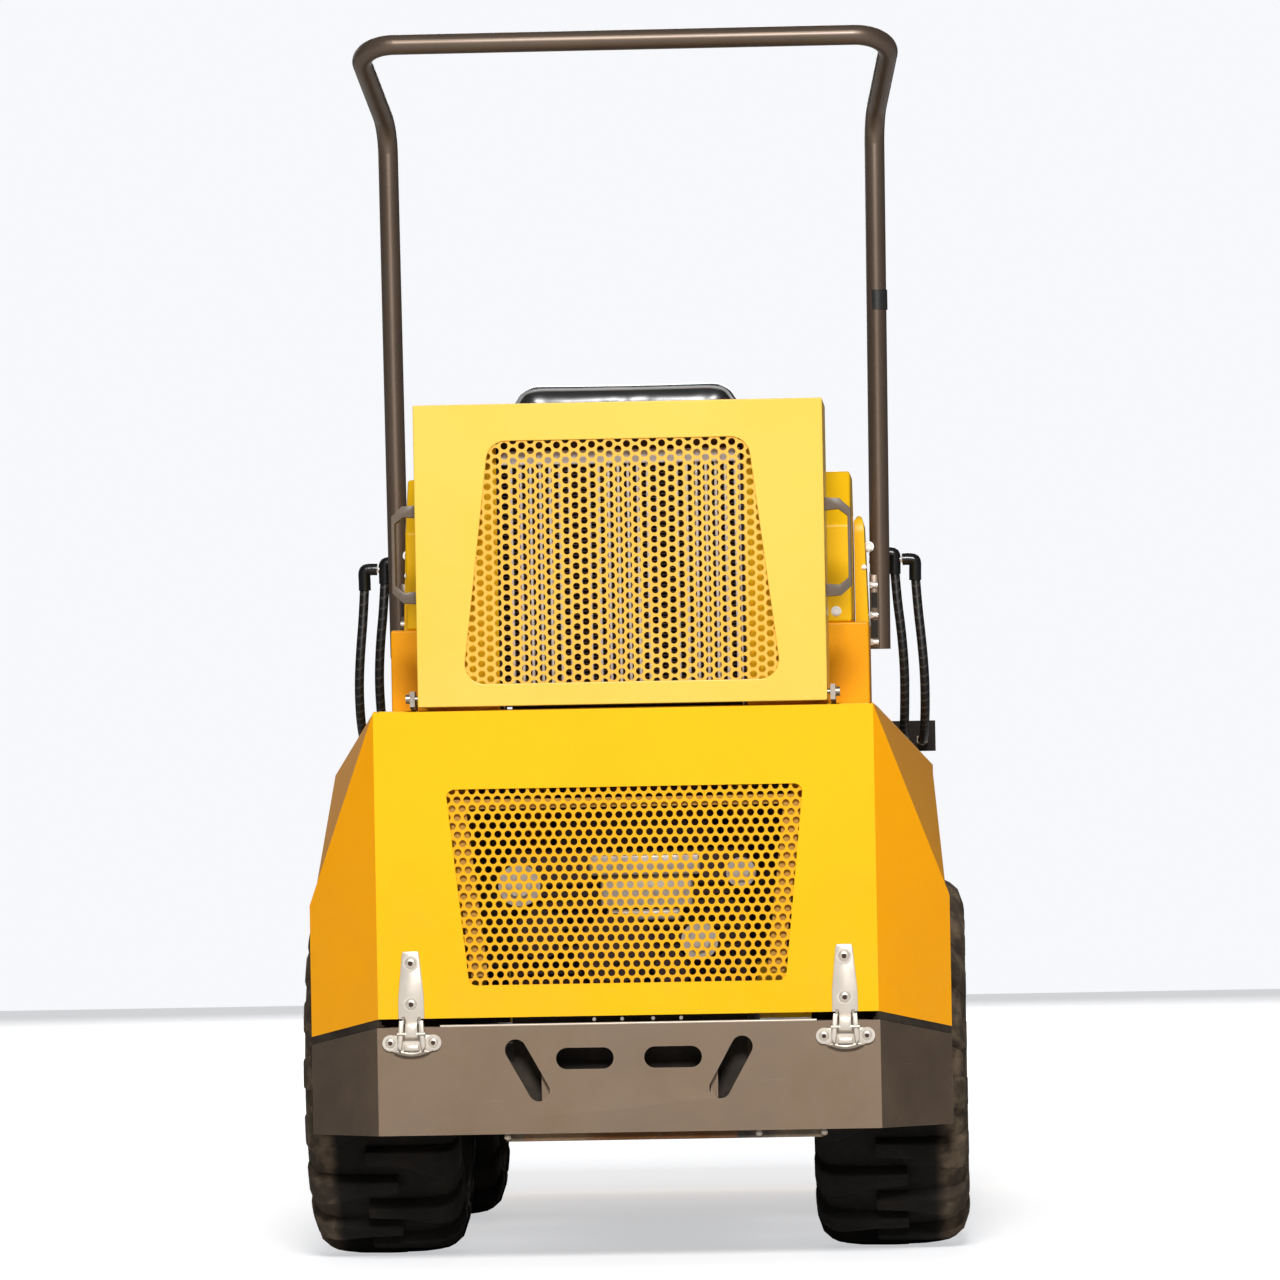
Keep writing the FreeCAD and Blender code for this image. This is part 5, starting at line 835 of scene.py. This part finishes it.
def makeHinges():
    face, spec = rearY, hingeSpec
    earX, earZ, pin, pinZ = spec["earX"], spec["earZ"], spec["pin"], spec["pinZ"]
    straps, plates, barrelShades = bmesh.new(), bmesh.new(), bmesh.new()
    strapSocketShades, plateSocketShades = bmesh.new(), bmesh.new()
    for x in (-spec["x"], spec["x"]):
        roundedPlate(straps, symmetric(x, spec["strap"], 3), face - 0.0062, face - 0.0004, 0.0016)
        roundedPlate(straps, symmetric(x, spec["tongue"]), face - 0.0175, face - 0.006, 0.003)
        addRod(straps, (x, face - 0.011, pinZ), sideways, pin, 0.0205, 28)
        for z in spec["strapScrews"]:
            addScrew(straps, strapSocketShades, x, face - 0.0062, z, spec["strapScrew"])
        roundedPlate(plates, symmetric(x, spec["lobe"], 2), face - 0.0050, face - 0.0004, 0.0010)
        roundedPlate(plates, symmetric(x, spec["hood"]), face - 0.0150, face - 0.0052, 0.0025)
        # painted shade: the arc under each knuckle, the pin's ends and the small blocks beside them
        # take the darker zinc finish
        under = arcPoints(x, 0.4050, 0.0615, 242, 298, 10)
        under += reversed(arcPoints(x, 0.4000, 0.0500, 246, 294, 10))
        roundedPlate(barrelShades, under, face - 0.0090, face - 0.0050, 0.0012)
        for end in (-1, 1): # upright cheeks that hold the pin, leaning outwards lower down
            ear = x + end * earX
            addRod(plates, (ear, face - 0.0028, earZ), lengthways, spec["ear"], 0.0048, 40)
            addScrew(plates, plateSocketShades, ear, face - 0.0052, earZ, spec["earScrew"])
            roundedPlate(plates, [(x + end * out, z) for out, z in spec["cheek"]],
                         face - 0.0185, face - 0.0050, 0.0018)
            addRod(barrelShades, (x + end * 0.0165, face - 0.0125, pinZ), sideways, pin, 0.0120, 28)
            addBox(barrelShades, (x + end * 0.0132 - 0.0022, face - 0.0100, 0.3960),
                   (x + end * 0.0132 + 0.0022, face - 0.0062, 0.4080))
    newMesh("hinge_strap_pair", straps, "stainless", "door", 35, "hinge_straps")
    newMesh("hinge_plate_pair", plates, "stainless", "rear", 35, "hinge_plates")
    newMesh("hinge_barrel_shades", barrelShades, "zincBolt", "rear", 35)
    newMesh("strap_socket_shades", strapSocketShades, "castIron", "door", 35)
    newMesh("plate_socket_shades", plateSocketShades, "castIron", "rear", 35)


# roll bar details, handles, fittings, small bolts and strips
barSpec = {
    "postX": 0.4108, "postY": -0.46565, "sleeve": 0.0178, "leftSleeve": 1.150, "rightSleeve": 1.145,
    "bandX": 0.4152, "bandZ": 1.592, "band": 0.0176, "footY": -0.4850,
    "footBolts": (1.1055, 1.0545, 1.0085), # heights
    "slots": ((1.0800, 0.026), (1.0310, 0.030)), # height and length
    # place on the right, width across the head, height of the head
    "faceBolts": [((0.3925, -0.4790, 1.1710), 0.0140, 0.0070),
                  ((0.3860, -0.6262, 1.1330), 0.0065, 0.0030),
                  ((0.3420, -0.9155, 1.0540), 0.0125, 0.0040)],
}


def makeBarDetails():
    spec = barSpec
    postX, postY, footY = spec["postX"], spec["postY"], spec["footY"]
    sleeves, band = bmesh.new(), bmesh.new()
    for x, z in ((-postX, spec["leftSleeve"]), (postX, spec["rightSleeve"])):
        addRod(sleeves, (x, postY, z), upwards, spec["sleeve"], 0.004, 40)
    addRod(band, (spec["bandX"], postY, spec["bandZ"]), upwards, spec["band"], 0.034, 40)
    newMesh("bar_sleeves", sleeves, "barPaint", "rear", 40)
    newMesh("bar_band", band, "blackPlastic", "rear", 40)
    feet, bolts, slots = bmesh.new(), bmesh.new(), bmesh.new()
    addBoxPair(feet, (0.3937, footY, 0.9985), (0.4085, -0.4640, 1.1240))
    roundRims(feet, list(feet.edges), 0.0025)
    # painted shadow: dark rubber blocks in the gaps between the bolts on each post's foot
    for z, high in spec["slots"]:
        addBoxPair(slots, (0.3958, footY - 0.0006, z - high / 2),
                   (0.4062, footY + 0.0004, z + high / 2))
    for side in (-1, 1):
        for z in spec["footBolts"]: # they lie across the foot of each post
            addRod(bolts, (side * 0.4005, footY - 0.0018, z), sideways, 0.0046, 0.0130, 24)
            addRod(bolts, (side * 0.3955, footY - 0.0018, z), sideways, 0.0062, 0.0040, 6)
        for (x, y, z), across, high in spec["faceBolts"]:
            addBolt(bolts, (side * x, y, z), across, high)
    newMesh("bar_feet", feet, "barPaint", "rear", 35)
    newMesh("bar_bolts", bolts, "brightBolt", "rear", 35)
    newMesh("bar_slots", slots, "sealRubber", "rear")


def makeHandles():
    # folded pulls: broad arms that narrow into a thin upright grip
    low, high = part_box("cover_handles")
    inner, reach, tall = 0.330, high.x - 0.330, high.z - low.z
    half = [(0.0, 0.0), (reach - 0.018, 0.0015), (reach, 0.018)]
    back = [(reach - 0.0052, 0.030), (reach - 0.020, 0.0185), (0.0, 0.0205)]
    bm = bmesh.new()
    for side in (-1, 1):
        outline = half + [(x, tall - z) for x, z in reversed(half)]
        outline += [(x, tall - z) for x, z in reversed(back)] + back
        roundedPlate(bm, [(side * (inner + x), low.z + z) for x, z in outline], low.y, high.y,
                     0.0014)
    newMesh("handle_bars", bm, "handlePaint", "cover", 35, "cover_handles")


def makeFittings():
    # black elbows on bright nipples above, plain nuts on both sides of the lower plates
    bright, nuts = bmesh.new(), bmesh.new()
    finX, leg = 0.393, 0.024
    for sideName, side in (("right", 1), ("left", -1)):
        for lane, route in hoseRoutes.items():
            (x, y, z), (endX, endY, endZ) = route[0], route[-1]
            bend = [(side * (x - leg * 0.9), y, z + leg), (side * (x - 0.004), y, z + leg + 0.0008),
                    (side * (x + 0.0008), y, z + leg - 0.004), (side * x, y, z + 0.004),
                    (side * x, y, z - 0.012)]
            tubeThrough(f"hose_elbow_{sideName}_{lane}", bend, 0.0104, "elbowRubber", "rear", 8)
            long = x - leg - finX + 0.006
            addRod(bright, (side * (finX + long / 2), y, z + leg), sideways, 0.0046, long, 24)
            addRod(bright, (side * (x - leg * 0.9), y, z + leg), sideways, 0.0068, 0.006, 6)
            for middle in (endY + 0.010, endY + 0.036):
                addRod(nuts, (side * endX, middle, endZ), lengthways, 0.0105, 0.020, 6)
                addRod(nuts, (side * endX, middle, endZ), lengthways, 0.0092, 0.0206, 24)
    newMesh("hose_nipples", bright, "brightBolt", "rear", 35)
    newMesh("hose_nuts", nuts, "zincBolt", "rear", 35, "hose_fittings")


def makeTrim():
    # small bolts on the belly's edge, in the gap above the bumper and at the cover's foot
    bolts = bmesh.new()
    for x in (-0.198, 0.207, 0.312):
        addBolt(bolts, (x, rearY + 0.012, 0.2105), 0.008, 0.003)
    for x in (-0.055, -0.010, 0.040, 0.085):
        addRod(bolts, (x, rearY + 0.010, 0.3985), lengthways, 0.0030, 0.012, 16)
    for x in (-0.345, 0.345):
        addRod(bolts, (x, rearY + 0.014, 0.919), sideways, 0.0075, 0.010, 24)
    newMesh("small_bolts", bolts, "zincBolt", "rear", 35)


def addSlab(bm, low, high):
    # eight-cornered block between two loops of four points
    for vert in bmesh.ops.create_cube(bm, size=2)["verts"]:
        index = (0 if vert.co.x < 0 else 1) if vert.co.y < 0 else (3 if vert.co.x < 0 else 2)
        vert.co = (high if vert.co.z > 0 else low)[index]


def makeStrips():
    seals = bmesh.new() # rubber strips under the flared corners
    inner, outer, drop = 0.4035, 0.5195, 0.0295
    y0, y1 = rearY + 0.002, rearY + 0.1165
    for side in (-1, 1):
        for deep, z0, z1 in ((0.006, 0.3935, 0.4045), (0.010, 0.3905, 0.3945)):
            loop = [(side * inner, y0, 0), (side * outer, y1, drop),
                    (side * (outer - deep), y1 + deep, drop), (side * (inner - deep), y0 + deep, 0)]
            addSlab(seals, *[[(x, y, z - fall) for x, y, fall in loop] for z in (z0, z1)])
    roundRims(seals, list(seals.edges), 0.0012)
    newMesh("corner_seals", seals, "sealRubber", "rear", 40)
    belly, middle, lip = bmesh.new(), bmesh.new(), bmesh.new()
    addBox(belly, (-0.200, rearY + 0.016, 0.2030), (0.310, rearY + 0.060, 0.2195))
    newMesh("belly_edge", belly, "chassisPaint", "rear")
    addBox(middle, (-0.172, rearY + 0.0145, 0.2040), (0.172, rearY + 0.020, 0.2190))
    newMesh("belly_middle", middle, "bellyPaint", "rear")
    # painted highlight: a thin pale rod along the bumper's top bend stands for the light its
    # rounded rim catches
    addRod(lip, (0, rearY + 0.0005, 0.3912), sideways, 0.0022, 0.606, 16)
    newMesh("bumper_lip", lip, "lipPaint", "rear", 40)
    ribs = bmesh.new() # folded ribs behind the door's perforated sheet
    y0, y1 = rearY + 0.012, rearY + 0.016
    addBox(ribs, (-0.280, y0, 0.7400), (0.280, y1, 0.7550))
    for side in (-1, 1):
        addSlab(ribs, *[[(side * x, y, z) for x, y in ((x0, y0), (x1, y0), (x1, y1), (x0, y1))]
                        for x0, x1, z in ((0.225, 0.252, 0.470), (0.256, 0.283, 0.740))])
    newMesh("door_ribs", ribs, "ribPaint", "door")


# padded seat
padSpec = {"voxel": 0.006, "pressure": 4.0, "frames": 20, "cap": 0.0035}


def inflate(piece):
    # swell the pad by cloth pressure, with its travel capped, and keep the result
    start = [vert.co.copy() for vert in piece.data.vertices]
    cloth = piece.modifiers.new("pressure", "CLOTH").settings
    cloth.quality, cloth.use_pressure = 4, True
    cloth.uniform_pressure_force = padSpec["pressure"]
    cloth.effector_weights.gravity = 0
    cloth.tension_stiffness = cloth.compression_stiffness = 25
    cloth.bending_stiffness = 1.5
    scene = bpy.context.scene
    for frameNumber in range(1, padSpec["frames"] + 1):
        scene.frame_set(frameNumber)
    made = evaluated(piece)
    for vert, was in zip(made.vertices, start):
        shift = vert.co - was
        if shift.length > padSpec["cap"]:
            vert.co = was + shift.normalized() * padSpec["cap"]
    swapMesh(piece, made)
    scene.frame_set(1)


def reachOf(mesh):
    low = [min(vert.co[axis] for vert in mesh.vertices) for axis in range(3)]
    high = [max(vert.co[axis] for vert in mesh.vertices) for axis in range(3)]
    return low, high


def refit(mesh, wanted):
    # a filled pad draws in at its rim; this brings it back to the outline it was cut to
    now = reachOf(mesh)
    for vert in mesh.vertices:
        for axis in range(3):
            share = (vert.co[axis] - now[0][axis]) / (now[1][axis] - now[0][axis])
            vert.co[axis] = wanted[0][axis] + share * (wanted[1][axis] - wanted[0][axis])


def evaluated(piece):
    # mesh of the piece with its modifiers applied
    return bpy.data.meshes.new_from_object(
        piece.evaluated_get(bpy.context.evaluated_depsgraph_get()))


def swapMesh(piece, mesh):
    old = piece.data
    piece.modifiers.clear()
    piece.data = mesh
    bpy.data.meshes.remove(old)


def pressSeam(bm, start, end, deep, wide):
    # a sewn line presses the skin in along it
    line = Vector(end) - Vector(start)
    for vert in bm.verts:
        share = max(0.0, min(1.0, (vert.co - Vector(start)).dot(line) / line.length_squared))
        away = (vert.co - (Vector(start) + line * share)).length
        if away < wide:
            vert.co -= vert.normal * deep * (1 - (away / wide) ** 2) ** 2


def makePad(name, node, corners, step, crown, seams):
    # corners outline the pad in its own plane; it is drawn out by the step and crowned
    bm = bmesh.new()
    drawOut(bm, [bm.faces.new([bm.verts.new(corner) for corner in corners])], step)
    roundRims(bm, list(bm.edges), crown, 4)
    piece = newMesh(name, bm, "seatVinyl")
    remesh = piece.modifiers.new("even", "REMESH")
    remesh.mode, remesh.voxel_size = "VOXEL", padSpec["voxel"]
    swapMesh(piece, evaluated(piece))
    piece.data.materials.clear()
    piece.data.materials.append(finishes["seatVinyl"])
    cut = reachOf(piece.data)
    inflate(piece)
    refit(piece.data, cut)
    shaped = bmesh.new()
    shaped.from_mesh(piece.data)
    for seam in seams:
        pressSeam(shaped, *seam)
    bmesh.ops.smooth_vert(shaped, verts=shaped.verts, factor=0.5, use_axis_x=True,
                          use_axis_y=True, use_axis_z=True)
    shaped.to_mesh(piece.data)
    shaped.free()
    piece.data.shade_smooth()
    finer = piece.modifiers.new("finer", "SUBSURF")
    finer.levels = finer.render_levels = 1
    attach(piece, "rear")
    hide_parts(node)
    return piece


seatSpec = {
    "footZ": 1.035, "lean": 7.0, "backDepth": 0.070, "cushionCrown": 0.026, "backCrown": 0.024,
    "back": [(0.205, 0.012), (0.212, 0.20), (0.204, 0.345), (0.168, 0.410)], # its right half
    "piping": [(0.208, 0.25), (0.204, 0.345), (0.174, 0.406), (0.135, 0.4120), (0.0, 0.4130)],
    "sideSeam": (0.008, 0.016), "crossSeam": (0.006, 0.014), # depth and half width
    "cushionSeams": (0.13, 0.22, 0.31), "backSeams": (0.09, 0.17, 0.25, 0.33),
}


def makeSeat():
    spec, low, high = seatSpec, *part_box("seat_cushion")
    y0, y1, z0, z1 = low.y + 0.008, high.y - 0.010, low.z + 0.004, high.z - 0.010
    half = [(0.200, y0), (0.212, y0 + 0.12), (0.205, y1 - 0.05), (0.165, y1)]
    outline = [(x, y, z0) for x, y in symmetric(0, half)]
    seams = [((side * 0.130, y0 + 0.05, z1 + 0.004), (side * 0.115, y1 - 0.05, z1 + 0.004),
              *spec["sideSeam"]) for side in (-1, 1)]
    seams += [((-0.125, y0 + along, z1 + 0.006), (0.125, y0 + along, z1 + 0.006),
               *spec["crossSeam"]) for along in spec["cushionSeams"]]
    makePad("seat_cushion_pad", "seat_cushion", outline, (0, 0, z1 - z0), spec["cushionCrown"],
            seams)

    footY, footZ, lean = rearY + 0.445, spec["footZ"], math.radians(spec["lean"])

    def leaning(x, up, out=0.0):
        # place on the backrest: x across, up along its lean, out to the front
        return (x, footY + out * math.cos(lean) - up * math.sin(lean),
                footZ + up * math.cos(lean) + out * math.sin(lean))

    outline = [leaning(x, up, -0.012) for x, up in symmetric(0, spec["back"])]
    seams = [(leaning(side * 0.125, 0.03, -0.002), leaning(side * 0.110, 0.36, -0.002),
              *spec["sideSeam"]) for side in (-1, 1)]
    seams += [(leaning(-0.115, up), leaning(0.115, up), *spec["crossSeam"])
              for up in spec["backSeams"]]
    back = (Vector(leaning(0, 0, -1)) - Vector(leaning(0, 0))) * spec["backDepth"]
    pad = makePad("seat_back_pad", "seat_backrest", outline, back, spec["backCrown"], seams)
    edge = spec["piping"]
    top = [leaning(-x, up, -0.076) for x, up in edge]
    top += [leaning(x, up, -0.076) for x, up in reversed(edge[:-1])]
    laid = []
    for start, end in zip(top, top[1:]): # the piping lies on the pad's skin
        for step in range(4):
            near = Vector(start).lerp(Vector(end), step / 4)
            place, outward = pad.closest_point_on_mesh(near)[1:3]
            laid.append(tuple(place + outward * 0.0012))
    tubeThrough("seat_piping", laid, 0.0028, "pipingVinyl", "rear")


# hydraulic hoses, looping down in front of the roll bar's posts
hoseRoutes = {
    "inner": [(0.436, -0.436, 1.137), (0.439, -0.436, 1.085), (0.446, -0.434, 1.026),
              (0.450, -0.427, 0.962), (0.449, -0.406, 0.903), (0.447, -0.370, 0.858),
              (0.446, -0.318, 0.842), (0.445, -0.270, 0.842)],
    "outer": [(0.471, -0.436, 1.126), (0.474, -0.437, 1.072), (0.480, -0.438, 1.012),
              (0.484, -0.434, 0.954), (0.484, -0.418, 0.900), (0.482, -0.384, 0.862),
              (0.479, -0.330, 0.842), (0.477, -0.270, 0.842)],
}


def makeHoses():
    for sideName, side in (("right", 1), ("left", -1)):
        for lane, route in hoseRoutes.items():
            node = f"hose_{sideName}_{lane}"
            points = [(side * x, y, z) for x, y, z in route]
            hose = tubeThrough(node + "_line", points, 0.008, "hoseWrap", "rear", 8)
            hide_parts(node)


makeHinges()
makeBarDetails()
makeTrim()
makeStrips()
makeSeat()
makeHoses()
makeHandles()
makeFittings()
makeCooler()
makeEngine()
print("hinges, strips, seat, hoses, cooler and engine made")

softSpecs = [ # piece, node, rim radius, finish, body
    ("door_shell", "engine_door", 0.0022, ("loaderYellow", "tankYellow"), "door"),
    # the cover's paler yellow is painted sky reflection
    ("cover_shell", "cooler_cover", 0.0026, "coverYellow", "cover"),
    ("bumper_shell", "rear_bumper", 0.0030, ("bronzePaint", "wingShadePaint"), "rear"),
    ("fender_shells", "rear_fenders", 0.0020, ("tankYellow", "sealRubber"), "rear"),
    ("deck_shell", "engine_deck", 0.0015, "loaderYellow", "rear"),
    ("tank_shells", "side_tanks", 0.0040, "tankYellow", "rear"),
    ("console_shells", "side_consoles", 0.0050, "loaderYellow", "rear"),
    ("fin_plates", "rops_mounts", 0.0015, "loaderYellow", "rear"),
    ("baffle_plates", "cooler_baffles", 0.0008, "loaderYellow", "rear"),
    ("front_shell", "front_frame", 0.0020, "chassisPaint", "front"),
    ("rear_shell", "rear_frame", 0.0020, ("chassisPaint", "sealRubber"), "rear"),
    ("tower_plates", "boom_tower", 0.0020, "frontYellow", "front"),
    ("boom_shell", "boom", 0.0020, "frontYellow", "boom"),
    ("bucket_shell", "bucket", 0.0020, "frontYellow", "bucket"),
    ("edge_bar", "cutting_edge", 0.0020, "wornEdge", "bucket"),
    ("floor_shell", "floor_plate", 0.0015, "bronzePaint", "rear"),
    ("column_shell", "steering_column", 0.0020, "blackPlastic", "rear"),
]
# painted shade: on the door and the bumper the faces slanting back and outwards get the second,
# darker finish
slantShade = splitFinish(lambda place, normal: abs(normal.x) > 0.4 and abs(normal.y) > 0.4)
splits = {
    "engine_door": slantShade,
    "rear_bumper": slantShade,
    # painted shade: the frame's rear end, seen through the openings in the bumper, takes the black
    # rubber finish
    "rear_frame": splitFinish(lambda place, normal: place.y < -1.17 and normal.y < -0.5),
    # the hoses' lower brackets
    "rear_fenders": splitFinish(lambda place, normal: place.y > -0.412),
}
for pieceName, node, width, material, body in softSpecs:
    softened(pieceName, node, width, material, body, splits.get(node))
print("panels softened")


# the lens sees the floor as pale as the backdrop, with the machine's soft shadow on it
def makeFloor():
    finishes["paleFloor"], tree, shader = newMaterial("paleFloor", 0.9, specular=0.0)
    shader.inputs["Base Color"].default_value = (0.80, 0.80, 0.80, 1)
    shader.inputs["Emission Color"].default_value = (0.97, 0.98, 1.0, 1)
    seen = tree.nodes.new("ShaderNodeLightPath").outputs["Is Camera Ray"]
    tree.links.new(product(tree, seen, 0.55), shader.inputs["Emission Strength"])
    bm = bmesh.new()
    bmesh.ops.create_grid(bm, x_segments=1, y_segments=1, size=14.0)
    floor = newMesh("floor", bm, "paleFloor")


makeFloor()
print("floor laid")
